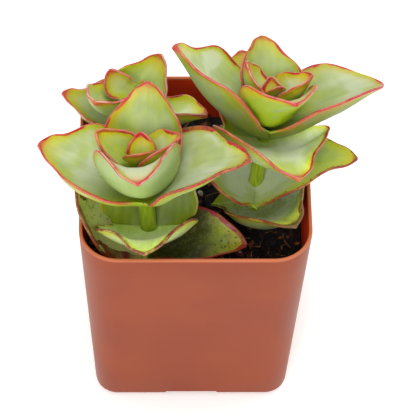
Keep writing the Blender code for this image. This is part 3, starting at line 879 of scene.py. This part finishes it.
def makeScatterTree():
    tree, given, result = geometryTree("scatterOnSoil", [
        ("Shape", "NodeSocketObject", None), ("Per Square Metre", "NodeSocketFloat", 1e5),
        ("Smallest", "NodeSocketFloat", 0.5), ("Largest", "NodeSocketFloat", 1.5),
        ("Lift", "NodeSocketFloat", 0.0), ("Tilt", "NodeSocketFloat", 1.0), ("Seed", "NodeSocketInt", 1),
        ("Reach", "NodeSocketFloat", 0.02), ("Material", "NodeSocketMaterial", None)])
    facing = addNode(tree, "ShaderNodeSeparateXYZ", {0: addNode(tree, "GeometryNodeInputNormal").outputs[0]})
    level = addNode(tree, "ShaderNodeSeparateXYZ", {0: addNode(tree, "GeometryNodeInputPosition").outputs[0]})
    facesUp = addNode(tree, "FunctionNodeCompare", {0: facing.outputs[2], 1: soilShape["leastUpward"]},
                      operation="GREATER_THAN")
    standsHigh = addNode(tree, "FunctionNodeCompare", {0: level.outputs[2], 1: soilShape["level"] - 2 * mm},
                         operation="GREATER_THAN")
    isTop = addNode(tree, "FunctionNodeBooleanMath", {0: facesUp.outputs[0], 1: standsHigh.outputs[0]},
                    operation="AND")
    top = addNode(tree, "GeometryNodeSeparateGeometry", {"Geometry": given["Geometry"],
                                                         "Selection": isTop.outputs[0]}, domain="FACE")
    points = addNode(tree, "GeometryNodeDistributePointsOnFaces", {
        "Mesh": top.outputs["Selection"], "Density": given["Per Square Metre"], "Seed": given["Seed"]})
    # nothing may reach through the thin wall, nor at its rounded corners
    fromMiddle = addNode(tree, "ShaderNodeVectorMath", {
        0: addNode(tree, "GeometryNodeInputPosition").outputs[0], 1: tuple(potMiddle)}, operation="SUBTRACT")
    parts = addNode(tree, "ShaderNodeSeparateXYZ", {0: fromMiddle.outputs[0]})
    across = calc(tree, "ABSOLUTE", parts.outputs[0])
    back = calc(tree, "ABSOLUTE", parts.outputs[1])
    towardsCorner = calc(tree, "MULTIPLY", calc(tree, "ADD", across, back), soilShape["cornerShare"])
    furthest = calc(tree, "MAXIMUM", calc(tree, "MAXIMUM", across, back), towardsCorner)
    isClear = addNode(tree, "FunctionNodeCompare", {0: furthest, 1: given["Reach"]}, operation="LESS_THAN")
    kept = addNode(tree, "GeometryNodeSeparateGeometry", {"Geometry": points.outputs["Points"],
                                                          "Selection": isClear.outputs[0]}, domain="POINT")
    raised = addNode(tree, "ShaderNodeCombineXYZ", {2: given["Lift"]})
    moved = addNode(tree, "GeometryNodeSetPosition", {"Geometry": kept.outputs["Selection"],
                                                      "Offset": raised.outputs[0]})
    tilt = calc(tree, "MULTIPLY", given["Tilt"], math.pi)
    least = addNode(tree, "ShaderNodeCombineXYZ", {0: calc(tree, "MULTIPLY", tilt, -1.0),
                                                   1: calc(tree, "MULTIPLY", tilt, -1.0), 2: -math.pi})
    most = addNode(tree, "ShaderNodeCombineXYZ", {0: tilt, 1: tilt, 2: math.pi})
    turn = addNode(tree, "FunctionNodeRandomValue", {"Min": least.outputs[0], "Max": most.outputs[0],
                                                     "Seed": given["Seed"]}, data_type="FLOAT_VECTOR")
    size = addNode(tree, "FunctionNodeRandomValue", {"Seed": given["Seed"]}, data_type="FLOAT")
    tree.links.new(given["Smallest"], size.inputs[2])
    tree.links.new(given["Largest"], size.inputs[3])
    shape = addNode(tree, "GeometryNodeObjectInfo", {"Object": given["Shape"]})
    placed = addNode(tree, "GeometryNodeInstanceOnPoints", {
        "Points": moved.outputs[0], "Instance": shape.outputs["Geometry"], "Rotation": turn.outputs[0],
        "Scale": size.outputs[1]})
    real = addNode(tree, "GeometryNodeRealizeInstances", {"Geometry": placed.outputs[0]})
    dressed = addNode(tree, "GeometryNodeSetMaterial", {"Geometry": real.outputs[0],
                                                        "Material": given["Material"]})
    tree.links.new(dressed.outputs[0], result["Geometry"])
    return tree


def lumpShape(name, sides, stretch, rough, seed):
    # An uneven lump one millimetre across before it is stretched
    work = bmesh.new()
    bmesh.ops.create_icosphere(work, subdivisions=sides, radius=0.5 * mm)
    for vert in work.verts:
        push = 1 + rough * noise.noise(vert.co / (0.42 * mm) + Vector((seed, seed, seed)))
        vert.co = Vector((vert.co.x * stretch[0], vert.co.y * stretch[1], vert.co.z * stretch[2])) * push
    return shapeFrom(name, work)


def shapeFrom(name, work):
    mesh = bpy.data.meshes.new(name)
    work.to_mesh(mesh)
    work.free()
    shape = bpy.data.objects.new(name, mesh)
    scene.collection.objects.link(shape)
    return shape


def strandShape(name, seed):
    # A bent thread one millimetre long
    sides, steps = 5, 7
    rings = []
    for step in range(steps):
        t = step / (steps - 1)
        middle = Vector((t - 0.5, 0.22 * math.sin(2.6 * t + seed), 0.14 * math.sin(3.4 * t + 2 * seed))) * mm
        girth = 0.035 * mm * (1.1 - 0.6 * t)
        turns = [2 * math.pi * i / sides for i in range(sides)]
        rings.append([middle + girth * Vector((0, math.cos(a), math.sin(a))) for a in turns])
    shape = bpy.data.objects.new(name, loftMesh(name, rings))
    scene.collection.objects.link(shape)
    return shape


soilBits = [
    # piece, shape, per square metre, smallest, largest, lift, gap to the wall, tilt, seed, material
    ("soil_crumbs", "lump", 7.5e5, 0.45, 1.35, 0.10, 0.7, 1.0, 3, "peat"),
    ("soil_bark", "flake", 1.1e5, 0.7, 2.2, 0.30, 1.1, 0.28, 8, "bark"),
    ("soil_dark_bark", "flake", 1.5e5, 0.8, 2.6, 0.25, 1.3, 0.30, 21, "darkBark"),
    ("soil_fibres", "strand", 0.9e5, 2.0, 5.5, 0.45, 2.9, 0.16, 5, "fibre"),
    ("soil_perlite", "grit", 1.6e4, 0.8, 1.6, 0.35, 0.9, 1.0, 12, "perlite"),
]


def makeSoil(materials):
    bed = soilMesh()
    bed.shade_smooth()
    soil = linkPiece("soil_bed", bed, materials["peat"], "potting_soil", "soil")
    shapes = {
        "lump": lumpShape("lumpShape", 1, (1.0, 0.85, 0.75), 0.5, 1.0),
        "flake": lumpShape("flakeShape", 2, (1.25, 0.62, 0.26), 0.55, 2.0),
        "grit": lumpShape("gritShape", 2, (1.0, 0.9, 0.8), 0.45, 3.0),
        "strand": strandShape("strandShape", 0.7),
    }
    tree = makeScatterTree()
    halfSoil = potHalf(soilShape["level"]) - potShape["wall"]
    for name, shape, density, smallest, largest, lift, gap, tilt, seed, finish in soilBits:
        mesh = growMesh(soil, tree, {
            "Shape": shapes[shape], "Per Square Metre": density, "Smallest": smallest, "Largest": largest,
            "Lift": lift * mm, "Tilt": tilt, "Seed": seed, "Reach": halfSoil - gap * mm,
            "Material": materials[finish]})
        if shape == "strand":
            mesh.shade_smooth()
        linkPiece(name, mesh, materials[finish], "potting_soil")
        print(name, len(mesh.polygons), "faces")
    for shape in shapes.values():
        bpy.data.objects.remove(shape, do_unlink=True)


# Leaves and stems: the shapes the frame's leaves have, in millimetres and degrees

def leaf(length, width, rise, curl=10, cup=35, turn=0, twist=0, widest=0.4, pinch=0, recurve=0, **looks):
    # rise and curl bend the leaf along its middle, cup across it; turn swings it and twist rolls it
    return {"length": length, "width": width, "rise": rise, "curl": curl, "cup": cup, "turn": turn,
            "twist": twist, "widest": widest, "pinch": pinch, "recurve": recurve,
            "looks": {**freshLooks, **looks}}


def pair(bearing, height, waist, hollow, thickness, near, far, lean=0, crease=0.6):
    # waist and hollow are the half width and half angle where the two leaves meet round the stem
    return {"bearing": bearing, "height": height, "waist": waist, "hollow": hollow, "thickness": thickness,
            "near": near, "far": far, "lean": lean, "crease": crease}


plants = [
    {"name": "front", "foot": (-9.5, -13.0, 47.0), "crown": (-12.0, -11.5, 80.0), "girth": 1.75, "pairs": [
        pair(88, 78.2, 2.1, 43, 1.3,
             leaf(6.1, 6.1, 57, 10, 38, turn=3, twist=7, widest=0.37, pinch=0.07,
                  bloom=0.4, glow=0.4, lift=0.3, pale=0.5),
             leaf(7.2, 7.1, 69, 9, 38, turn=2, twist=10,
                  bloom=0.4, glow=0.45, limeBelow=1, lift=0.3, pale=0.5)),
        pair(-4, 76.5, 4.5, 42, 1.4,
             leaf(12.9, 12.4, 54, 5, 58, turn=5, twist=-21, widest=0.34, pinch=0.12,
                  bloom=0.6, glow=0.5, warmTip=0.25, lime=1.0, limeBelow=1, lift=0.2, pale=0.5),
             leaf(14, 11.5, 47, 57, 71, turn=-10, twist=-1,
                  bloom=0.3, glow=0.45, warmTip=0.3, lime=1.1, limeBelow=1, lift=0.35)),
        pair(84, 71.9, 5.7, 55, 2.0,
             leaf(21, 17.6, 42, 11, 37, turn=1, twist=-10, widest=0.44,
                  bloom=0.35, bloomAt=0.7, glow=0.5, warmTip=0.3, glowSide=0.8, lime=0.9),
             leaf(24.6, 21.8, 51.5, -15, 65, turn=5, twist=7, widest=0.5, pinch=0.09, recurve=60,
                  bloom=1.4, bloomAt=0.8, glow=0.15, warmTip=0.25, lime=0.3, limeBelow=0.1, pale=0.6,
                  deep=-0.3)),
        pair(-5, 69.1, 6.2, 38, 2.9,
             leaf(27.4, 20.8, 35, -46, 33, turn=-5, twist=-6, widest=0.43, pinch=0.22,
                  bloom=1.0, bloomAt=0.6, glow=0.2, scars=0.9, warmTip=0.2, lime=0.7, pale=0.12, ripe=0.25,
                  band=0.8),
             leaf(24.9, 20.6, 25, 15, 48, turn=-10, twist=2, widest=0.48, pinch=0.16,
                  bloom=0.75, bloomAt=0.6, glow=0.25, scars=0.2, warmTip=0.45, lime=1.0, lift=0.1,
                  pale=0.2), crease=0.2),
        pair(88, 55.2, 7.8, 17, 1.7,
             leaf(17, 23.5, 48, -36, 50, turn=-7, twist=4, widest=0.42,
                  bloom=0.2, dark=0.3, specks=0.2, red=0.12, pale=0.2, glow=0.05, warmTip=0, stripes=0.8),
             leaf(22.0, 23.3, 39.9, 1, 38, twist=5, widest=0.28, pinch=0.13, recurve=30,
                  bloom=1.4, bloomAt=0.45, scars=1.1, age=0.15, ripe=0.8, limeBelow=0.5, glow=0.2,
                  warmTip=0.05, lime=0.1, specks=0.15, worn=0.4, lift=1.3, deep=-0.8), crease=0.8),
        pair(-8, 50.1, 6.5, 20, 1.5,
             leaf(22.2, 14.2, 9, -50, 36, turn=-2, twist=10, widest=0.36,
                  bloom=0, dark=1.25, specks=0.6, age=0.45, ripe=0.8, scars=0.7, band=0.9, pale=0.05,
                  mottle=0.1, lime=0.7),
             leaf(26.5, 16.8, 53, 72, 24, turn=14, twist=-11.5, widest=0.38,
                  bloom=0.25, bloomAt=0.3, specks=0.3, age=0.65, ripe=1.0, scars=0.3, band=2.4, pale=0,
                  glow=0, mottle=1.2, lime=0, lift=1.3)),
    ]},
    {"name": "right", "foot": (13.0, -0.5, 47.0), "crown": (16.5, 2.5, 86.0), "girth": 1.6, "pairs": [
        pair(103, 82.5, 1.4, 40, 0.9,
             leaf(4.2, 4, 69, 12, 38, turn=-7, widest=0.38, pinch=0.04,
                  bloom=0.8, lift=0.3, pale=0.7),
             leaf(6.6, 4, 57, 15, 35, turn=5,
                  bloom=0.8, lift=0.3, pale=0.7), lean=0.3),
        pair(-5, 81.2, 3.6, 42, 1.5,
             leaf(11, 11.2, 41, 40, 77, turn=15, twist=-10, widest=0.33, pinch=0.08,
                  glow=0.8, band=0.6, bloom=0.8, bloomAt=0.6, pale=0.7, lift=0.3),
             leaf(11.8, 10.9, 61, 61, 52, turn=1, twist=7, widest=0.45,
                  glow=0.5, band=0.6, bloom=0.8, bloomAt=0.5, pale=0.7, lift=0.3), lean=0.25),
        pair(98, 75.8, 5.6, 34, 2.0,
             leaf(18.6, 16.8, 43, -24, 52, turn=-5, twist=20, pinch=0.05,
                  bloom=0.4, bloomAt=0.7, warmTip=0.25, lime=0.8, lift=0.05),
             leaf(23.4, 17.6, 48.6, -48, 53, turn=7, twist=-5, widest=0.52,
                  glow=0.8, lime=0.6, bloom=0.6, bloomAt=0.8, limeBelow=3, band=0.85, deep=-0.2), lean=0.25),
        pair(1, 73.1, 6.0, 47, 2.6,
             leaf(28, 21.5, 18, -45, 45, turn=20, twist=-12, widest=0.45,
                  bloom=0.75, bloomAt=0.75, glow=0.55, warmTip=0.1, lime=0.8, limeBelow=1.3, band=0.6,
                  pale=0.25, deep=0.65),
             leaf(29.2, 22.5, 47, 11, 54, turn=-4, twist=9, widest=0.46, pinch=0.23,
                  bloom=1.2, bloomAt=0.6, glow=0.3, warmTip=0.3, limeBelow=0.9, band=0.6, pale=0.3,
                  lift=0.4, deep=0.65), lean=0.25, crease=0.75),
        pair(96, 68.9, 10.0, 37, 2.8,
             leaf(21.4, 20.2, 26, 18, 34, turn=13, twist=3,
                  bloom=0.4, lift=0.3),
             leaf(18.7, 28.6, 17, -32, 42, turn=22, twist=-17, widest=0.25, pinch=0.21,
                  bloom=1.2, bloomAt=0.45, specks=0.15, scars=0.5, warmTip=0.1, limeBelow=0.5, lime=0.6,
                  lift=0.9), lean=0.1),
        pair(-5, 54.4, 10.0, 30, 2.1,
             leaf(25.8, 18.3, 35, -74, 14, turn=-2, twist=-2, widest=0.32, pinch=0.14,
                  bloom=1.4, bloomAt=0.15, age=0.1, ripe=0.7, scars=0.8, lime=1.0, warmTip=0.3, pale=0.1,
                  lift=0.25, band=0.3),
             leaf(19, 21.6, 41, 6, 44, turn=6, twist=-11,
                  bloom=1.4, bloomAt=0.15, age=0.1, ripe=0.8, pale=0.1, lift=0.1, band=0.35), crease=0.8),
        pair(114, 50.3, 10.5, 15, 1.9,
             leaf(13, 15, 25, 10, 45,
                  bloom=0.7, dark=0.2),
             leaf(27.6, 21.2, 35.9, 42, 59, turn=-7, twist=13, widest=0.37, pinch=0.15, recurve=25,
                  bloom=1.3, bloomAt=0.35, lime=0.7, limeBelow=0.4, specks=0.4, age=0.4, ripe=1.0,
                  scars=1.0, band=1.0, pale=0.05, brownTip=1, lift=0.65, deep=0.8)),
    ]},
    {"name": "back", "foot": (-13.2, 15.0, 47.0), "crown": (-14.5, 12.5, 71.5), "girth": 1.4, "pairs": [
        pair(139, 69.4, 2.5, 40, 1.5,
             leaf(7.6, 6.4, 32, 90, 53, turn=-8, twist=-25, widest=0.44,
                  band=0.35, pale=0.6),
             leaf(6.5, 7, 55, 10, 50,
                  band=0.35, pale=0.6)),
        pair(47, 65.7, 4.4, 35, 2.0,
             leaf(13.4, 13.9, 34, 54, 55, turn=5, twist=7, widest=0.3, pinch=0.12,
                  bloom=0.3, warmTip=0.5, band=0.22, pale=0.8, lift=0.35),
             leaf(15.8, 16.1, 52, 26, 66, turn=-5, twist=24, widest=0.43,
                  glow=0.45, band=0.4, pale=0.9, bloom=0.8, bloomAt=0.6, lift=0.3)),
        pair(-7, 58.8, 4.8, 40, 2.6,
             leaf(19.8, 10.3, 31, -17, 68, turn=-12, twist=-25, widest=0.53, pinch=0.02,
                  glow=0.4, bloom=0.9, warmTip=0.25, lift=0.6, deep=-0.5, band=0.35, pale=0.6),
             leaf(17.3, 10.3, 29, 7, 53, turn=-3, twist=-12, pinch=0.22,
                  bloom=0.5, warmTip=0.4, band=0.2, pale=0.6)),
        pair(80, 53.5, 4.5, 30, 2.2,
             leaf(10, 12, 48,
                  dark=0.2),
             leaf(13, 13, 25,
                  dark=0.2)),
    ]},
]

leafShape = {
    # half width along the length, as shares of the length and of the greatest half width
    "outlineAt": (0.0, 0.18, 0.4, 0.6, 0.8, 0.94, 1.0),
    "outlineWidth": (0.66, 0.90, 1.0, 0.88, 0.52, 0.22, 0.0),
    "outlinePeak": 0.4,
    "stations": 66,            # rings of points along the leaf
    "columns": 27,             # points across each face
    "marginSteps": 5,
    "minBlade": 0.6,           # mm, the thinnest the blade gets
    "edgeShare": 0.20,         # thickness at the margin, as a share of the middle's
    "tipThinning": 0.55,
    "tipOpening": 0.45,        # how far the cup opens out towards the tip
    "tipHalfWidth": 0.3,       # mm
    "tipRound": 0.25,          # mm
    "waveHeight": 0.35,        # mm, of the slow wave along the margin
    "waves": 1.7,
    "wavedLeaf": 15.0,         # mm, the shortest leaf that waves
    # shares of the length over which the slope, the width, the twist and the turn come in
    "slopeOver": 0.16,
    "joinedOver": 0.28,
    "twistOver": 0.4,
    "turnOver": 0.5,
    "marginRipple": 0.07,      # mm, of the margin's own unevenness
    "marginBulge": 0.9,        # how far the margin rounds out, as a share of half its thickness
    "ribHeight": 0.03,         # mm
}


def outlineOf(share, blade):
    peak, widest = leafShape["outlinePeak"], blade["widest"]
    at = np.where(share < widest, share * peak / widest, peak + (share - widest) * (1 - peak) / (1 - widest))
    knots = np.array(leafShape["outlineAt"])
    values = np.array(leafShape["outlineWidth"])
    slopes = np.gradient(values, knots)
    slopes[2] = 0.0
    cell = np.clip(np.searchsorted(knots, at, side="right") - 1, 0, len(knots) - 2)
    span = knots[cell + 1] - knots[cell]
    u = (at - knots[cell]) / span
    width = (2 * u**3 - 3 * u**2 + 1) * values[cell] + (u**3 - 2 * u**2 + u) * span * slopes[cell]
    width += (3 * u**2 - 2 * u**3) * values[cell + 1] + (u**3 - u**2) * span * slopes[cell + 1]
    return width * (1 - blade["pinch"] * np.exp(-((at - 0.8) / 0.12) ** 2))


def marginWave(blade, share, across):
    if blade["length"] < leafShape["wavedLeaf"]:
        return 0.0
    start = blade["length"] + blade["width"] + 0.9 * np.sign(across)
    swell = np.sin(2 * math.pi * leafShape["waves"] * share[:, None] + start[None, :])
    fade = smoothStep((share - 0.2) / 0.2) * (1 - smoothStep((share - 0.75) / 0.25))
    return leafShape["waveHeight"] * swell * fade[:, None] * np.abs(across[None, :])**3


def leafSurface(join, blade, share, across, seed):
    # The upper face, its normals and the half widths, in mm, along +X from the stem's axis
    shape = leafShape
    fine = np.linspace(0, 1, 161)
    # the two leaves of a pair meet in a round lip at crease 0 and in a sharp fold at 1
    fold = 0.6 * join["crease"]
    start = fold + (1 - fold) * smoothStep(fine * (1 - fold) / shape["slopeOver"])
    # a recurved blade starts low, stands up in the middle and opens again at the tip
    roundOut = blade["recurve"] * (smoothStep(fine / 0.35) * (1 - smoothStep((fine - 0.6) / 0.3)) - 0.575)
    slope = np.radians(start * (blade["rise"] + blade["curl"] * (fine - 0.5) + roundOut))
    swing = np.radians(smoothStep(fine / shape["turnOver"]) * blade["turn"])
    roll = np.radians(smoothStep(fine / shape["twistOver"]) * blade["twist"])
    ahead = np.stack([np.cos(slope) * np.cos(swing), np.cos(slope) * np.sin(swing), np.sin(slope)], -1)
    step = blade["length"] / (len(fine) - 1)
    midrib = np.concatenate([[[0, 0, 0]], np.cumsum(0.5 * (ahead[1:] + ahead[:-1]) * step, 0)])
    upright = np.stack([-np.sin(slope) * np.cos(swing), -np.sin(slope) * np.sin(swing), np.cos(slope)], -1)
    sideways = np.stack([-np.sin(swing), np.cos(swing), 0 * fine], -1)
    side = sideways * np.cos(roll)[:, None] + upright * np.sin(roll)[:, None]
    up = upright * np.cos(roll)[:, None] - sideways * np.sin(roll)[:, None]
    midrib, side, up = (np.stack([np.interp(share, fine, table[:, k]) for k in range(3)], -1)
                        for table in (midrib, side, up))
    near = np.clip(share / shape["joinedOver"], 0, 1)
    away = join["crease"] * (1 - (1 - near) ** 2) + (1 - join["crease"]) * smoothStep(near)
    half = join["waist"] * (1 - away) + 0.5 * blade["width"] * outlineOf(share, blade) * away
    draw = np.random.default_rng(seed)
    ripple = sum(np.sin(share * wave + draw.uniform(0, 6.28)) for wave in (19, 31, 47)) / 3
    ripple = ripple * shape["marginRipple"] * smoothStep((share - 0.15) / 0.15)
    half = np.maximum(half + ripple * np.minimum(1, half / 3), shape["tipHalfWidth"])
    cup = np.radians(join["hollow"] * (1 - away) + blade["cup"] * away)
    cup = cup * (1 - shape["tipOpening"] * smoothStep((share - 0.6) / 0.4))
    bend = cup[:, None] * across[None, :]
    out = half[:, None] * np.sin(bend) / cup[:, None]
    lift = half[:, None] * (1 - np.cos(bend)) / cup[:, None]
    lift = lift + marginWave(blade, share, across)
    ribs = np.cos(across * 17 + draw.uniform(0, 6.28)) * (1 - np.abs(across)**3)
    lift = lift + shape["ribHeight"] * ribs[None, :] * np.minimum(1, half / 6)[:, None] * away[:, None]
    face = midrib[:, None] + side[:, None] * out[..., None] + up[:, None] * lift[..., None]
    normal = up[:, None] * np.cos(bend)[..., None] - side[:, None] * np.sin(bend)[..., None]
    return face, normal, half


def bladeThickness(join, share, across):
    along = 1 - leafShape["tipThinning"] * smoothStep((share - 0.5) / 0.5)
    profile = leafShape["edgeShare"] + (1 - leafShape["edgeShare"]) * (1 - across**2)
    return np.maximum(join["thickness"] * along[:, None] * profile[None, :], leafShape["minBlade"])


def marginArc(top, under, inner):
    # Points that round the margin from the upper face to the lower one
    middle, reach = 0.5 * (top + under), 0.5 * (top - under)
    outward = middle - inner
    outward = outward / np.linalg.norm(outward, axis=-1, keepdims=True)
    bulge = outward * leafShape["marginBulge"] * np.linalg.norm(reach, axis=-1, keepdims=True)
    angles = np.pi * np.arange(1, leafShape["marginSteps"] + 1) / (leafShape["marginSteps"] + 1)
    return np.stack([middle + reach * np.cos(a) + bulge * np.sin(a) for a in angles], 1)


def leafRings(join, blade, seed):
    # One leaf as rings of points round its section, with what the leaf's skin reads at each point
    even = np.linspace(-1, 1, leafShape["columns"])
    across = 0.4 * even + 0.6 * np.sin(0.5 * math.pi * even)
    last = 1 - leafShape["tipRound"] / blade["length"]
    share = np.linspace(0, 1, leafShape["stations"])
    share = last * (0.75 * share + 0.25 * np.sin(0.5 * math.pi * share))
    face, normal, half = leafSurface(join, blade, share, across, seed)
    thick = bladeThickness(join, share, across)
    under = face - normal * thick[..., None]
    right = marginArc(face[:, -1], under[:, -1], 0.5 * (face[:, -2] + under[:, -2]))
    left = marginArc(face[:, 0], under[:, 0], 0.5 * (face[:, 1] + under[:, 1]))
    points = np.concatenate([face, right, under[:, ::-1], left[:, ::-1]], 1)
    halfRound = 0.6 * thick[:, :1]                           # half the way round the margin
    inward = half[:, None] * (1 - np.abs(across[None, :])) + halfRound
    turns = 1 - 2 * np.arange(1, leafShape["marginSteps"] + 1) / (leafShape["marginSteps"] + 1)
    edge = np.concatenate([inward, halfRound * turns, -inward[:, ::-1], -halfRound * turns[::-1]], 1)
    ends = np.ones(leafShape["marginSteps"])
    sideways = np.concatenate([across, ends, across[::-1], -ends])
    marks = np.stack([edge, np.broadcast_to(blade["length"] * (1 - share[:, None]), edge.shape),
                      np.broadcast_to(share[:, None], edge.shape), half[:, None] * sideways[None, :],
                      np.broadcast_to(blade["length"] * share[:, None], edge.shape)], -1)
    # two smaller rings round off the tip
    tip = points[-1].mean(0)
    ahead = tip - points[-3].mean(0)
    ahead = ahead / np.linalg.norm(ahead)
    endRing = points[-1]
    for size, forward in ((0.8, 0.5), (0.45, 0.85)):
        ring = tip + (endRing - tip) * size + ahead * forward * leafShape["tipRound"]
        points = np.concatenate([points, ring[None]], 0)
        marks = np.concatenate([marks, marks[-1:]], 0)
    return points, marks, tip + ahead * leafShape["tipRound"]


def looksOf(blade, other, count):
    # One row of looks for each ring, mixed half and half where the two leaves join
    row, otherRow = (np.array([b["looks"][k] for k in freshLooks], float) for b in (blade, other))
    rows = np.tile(row, (count, 1))
    rows[0] = 0.5 * (row + otherRow)
    return rows


def stemPoint(plant, z):
    foot, crown = Vector(plant["foot"]), Vector(plant["crown"])
    return foot.lerp(crown, (z - foot.z) / (crown.z - foot.z))


def pairAxes(plant, join):
    place = stemPoint(plant, join["height"])
    along = (Vector(plant["crown"]) - Vector(plant["foot"])).normalized()
    up = (along + Vector((0, 2 * join["lean"], 1))).normalized()
    bearing = math.radians(join["bearing"])
    ahead = Vector((math.cos(bearing), math.sin(bearing), 0))
    ahead = (ahead - up * ahead.dot(up)).normalized()
    return np.array(place), np.array([ahead, up.cross(ahead), up])


def pairMesh(plant, join, name, seed):
    far, farMarks, farTip = leafRings(join, join["far"], seed)
    near, nearMarks, nearTip = leafRings(join, join["near"], seed + 1)
    halfTurn = np.array([-1, -1, 1])
    columns, steps = leafShape["columns"], leafShape["marginSteps"]
    # turning the far leaf round swaps its sides, so its points are listed the other way round
    top, right = np.arange(columns), columns + np.arange(steps)
    low, left = columns + steps + np.arange(columns), 2 * columns + steps + np.arange(steps)
    swap = np.concatenate([top[::-1], left[::-1], low[::-1], right[::-1]])
    far = (far * halfTurn)[::-1][:, swap]
    farMarks = farMarks[::-1][:, swap] * np.array([1, 1, 1, -1, -1])
    points = np.concatenate([far, near[1:]], 0)
    marks = np.concatenate([farMarks, nearMarks[1:]], 0)
    looks = np.concatenate([looksOf(join["far"], join["near"], len(far))[::-1],
                            looksOf(join["near"], join["far"], len(near))[1:]], 0)
    rings, count = points.shape[:2]
    points = np.concatenate([points.reshape(-1, 3), [farTip * halfTurn, nearTip]], 0)
    marks = np.concatenate([marks.reshape(-1, 5), marks[0, :1], marks[-1, :1]], 0)
    looks = np.concatenate([np.repeat(looks, count, 0), looks[:1], looks[-1:]], 0)
    place, axes = pairAxes(plant, join)
    world = (place + points @ axes) * mm + np.array(potMiddle)
    start = (np.arange(rings - 1)[:, None] * count + np.arange(count)[None, :]).ravel()
    after = (np.arange(rings - 1)[:, None] * count + (np.arange(count)[None, :] + 1) % count).ravel()
    faces = np.stack([start, after, after + count, start + count], 1).tolist()
    ring = np.arange(count)
    following = (ring + 1) % count
    firstTip, lastTip = rings * count, rings * count + 1
    faces += [(firstTip, int(b), int(a)) for a, b in zip(ring, following)]
    base = (rings - 1) * count
    faces += [(lastTip, int(base + a), int(base + b)) for a, b in zip(ring, following)]
    mesh = bpy.data.meshes.new(name)
    mesh.from_pydata(world.tolist(), [], faces)
    mesh.validate()
    work = bmesh.new()
    work.from_mesh(mesh)
    bmesh.ops.recalc_face_normals(work, faces=work.faces)
    work.to_mesh(mesh)
    work.free()
    spot = np.stack([marks[:, 3], marks[:, 4], np.full(len(marks), 7.3 * seed)], -1)
    layers = [("marginDistance", "FLOAT", marks[:, 0]), ("tipDistance", "FLOAT", marks[:, 1]),
              ("alongLeaf", "FLOAT", marks[:, 2]), ("leafPlace", "FLOAT_VECTOR", spot)]
    layers += [(f"looks{k}", "FLOAT_VECTOR", looks[:, 3 * k:3 * k + 3]) for k in range(looks.shape[1] // 3)]
    for label, kind, values in layers:
        layer = mesh.attributes.new(label, kind, "POINT")
        layer.data.foreach_set("value" if kind == "FLOAT" else "vector", np.ravel(values).astype(np.float32))
    mesh.shade_smooth()
    return mesh


stemShape = {
    "sides": 28,
    "steps": 90,
    "nodeSwell": 0.16,         # how much thicker the stem is where a pair grows
    "nodeReach": 1.5,          # mm
    "depth": 7.0,              # mm, of the stem below the soil
}


def makeStemTree():
    # Sweeps a round section along the stem's line, as thick as each point of the line says
    tree, given, result = geometryTree("stemSweep", [
        ("Sides", "NodeSocketInt", 24), ("Material", "NodeSocketMaterial", None)])
    section = addNode(tree, "GeometryNodeCurvePrimitiveCircle", {"Resolution": given["Sides"], "Radius": 1.0})
    girth = addNode(tree, "GeometryNodeInputRadius")
    swept = addNode(tree, "GeometryNodeCurveToMesh", {
        "Curve": given["Geometry"], "Profile Curve": section.outputs[0], "Scale": girth.outputs[0],
        "Fill Caps": True})
    real = addNode(tree, "GeometryNodeRealizeInstances", {"Geometry": swept.outputs[0]})
    dressed = addNode(tree, "GeometryNodeSetMaterial", {"Geometry": real.outputs[0],
                                                        "Material": given["Material"]})
    tree.links.new(dressed.outputs[0], result["Geometry"])
    return tree


def makeStem(plant, tree, material):
    youngest = plant["pairs"][0]
    low = soilShape["level"] / mm - stemShape["depth"]
    high = youngest["height"] - youngest["thickness"] - 0.3
    line = bpy.data.curves.new("stemLine", "CURVE")
    line.dimensions = "3D"
    spline = line.splines.new("POLY")
    spline.points.add(stemShape["steps"] - 1)
    for step, point in enumerate(spline.points):
        z = low + (high - low) * step / (stemShape["steps"] - 1)
        swell = sum(math.exp(-((z - join["height"] + 1.0) / stemShape["nodeReach"]) ** 2)
                    for join in plant["pairs"][1:])
        end = math.sqrt(max(0.0, 1 - max(0.0, (z - high + 0.8) / 0.8) ** 2) + 0.02)
        point.co = (*(stemPoint(plant, z) * mm + potMiddle), 1)
        point.radius = plant["girth"] * mm * (1 + stemShape["nodeSwell"] * swell) * min(1.0, end)
    host = bpy.data.objects.new("stemLine", line)
    scene.collection.objects.link(host)
    mesh = growMesh(host, tree, {"Sides": stemShape["sides"], "Material": material})
    bpy.data.objects.remove(host, do_unlink=True)
    mesh.shade_smooth()
    linkPiece("stem_" + plant["name"] + "_skin", mesh, material, "stem", "stem_" + plant["name"])


def makePlants(leafMaterial, stemMaterial):
    tree = makeStemTree()
    seed = 1
    for plant in plants:
        makeStem(plant, tree, stemMaterial)
        for index, join in enumerate(plant["pairs"]):
            node = f"leaf_pair_{plant['name']}_{index + 1}"
            mesh = pairMesh(plant, join, node + "_blades", seed)
            linkPiece(node + "_blades", mesh, leafMaterial, "leaf", node)
            seed += 2
        print(plant["name"], "plant made")


# The whole scene

def main():
    scene.view_settings.view_transform = "Standard"
    makeCamera()
    makeLights()
    makeFloor()
    materials = {name: makeSoilMaterial(name) for name in soilFinish}
    makePot(makePotMaterial())
    makeSoil(materials)
    makePlants(makeLeafMaterial(), makeStemMaterial())


main()
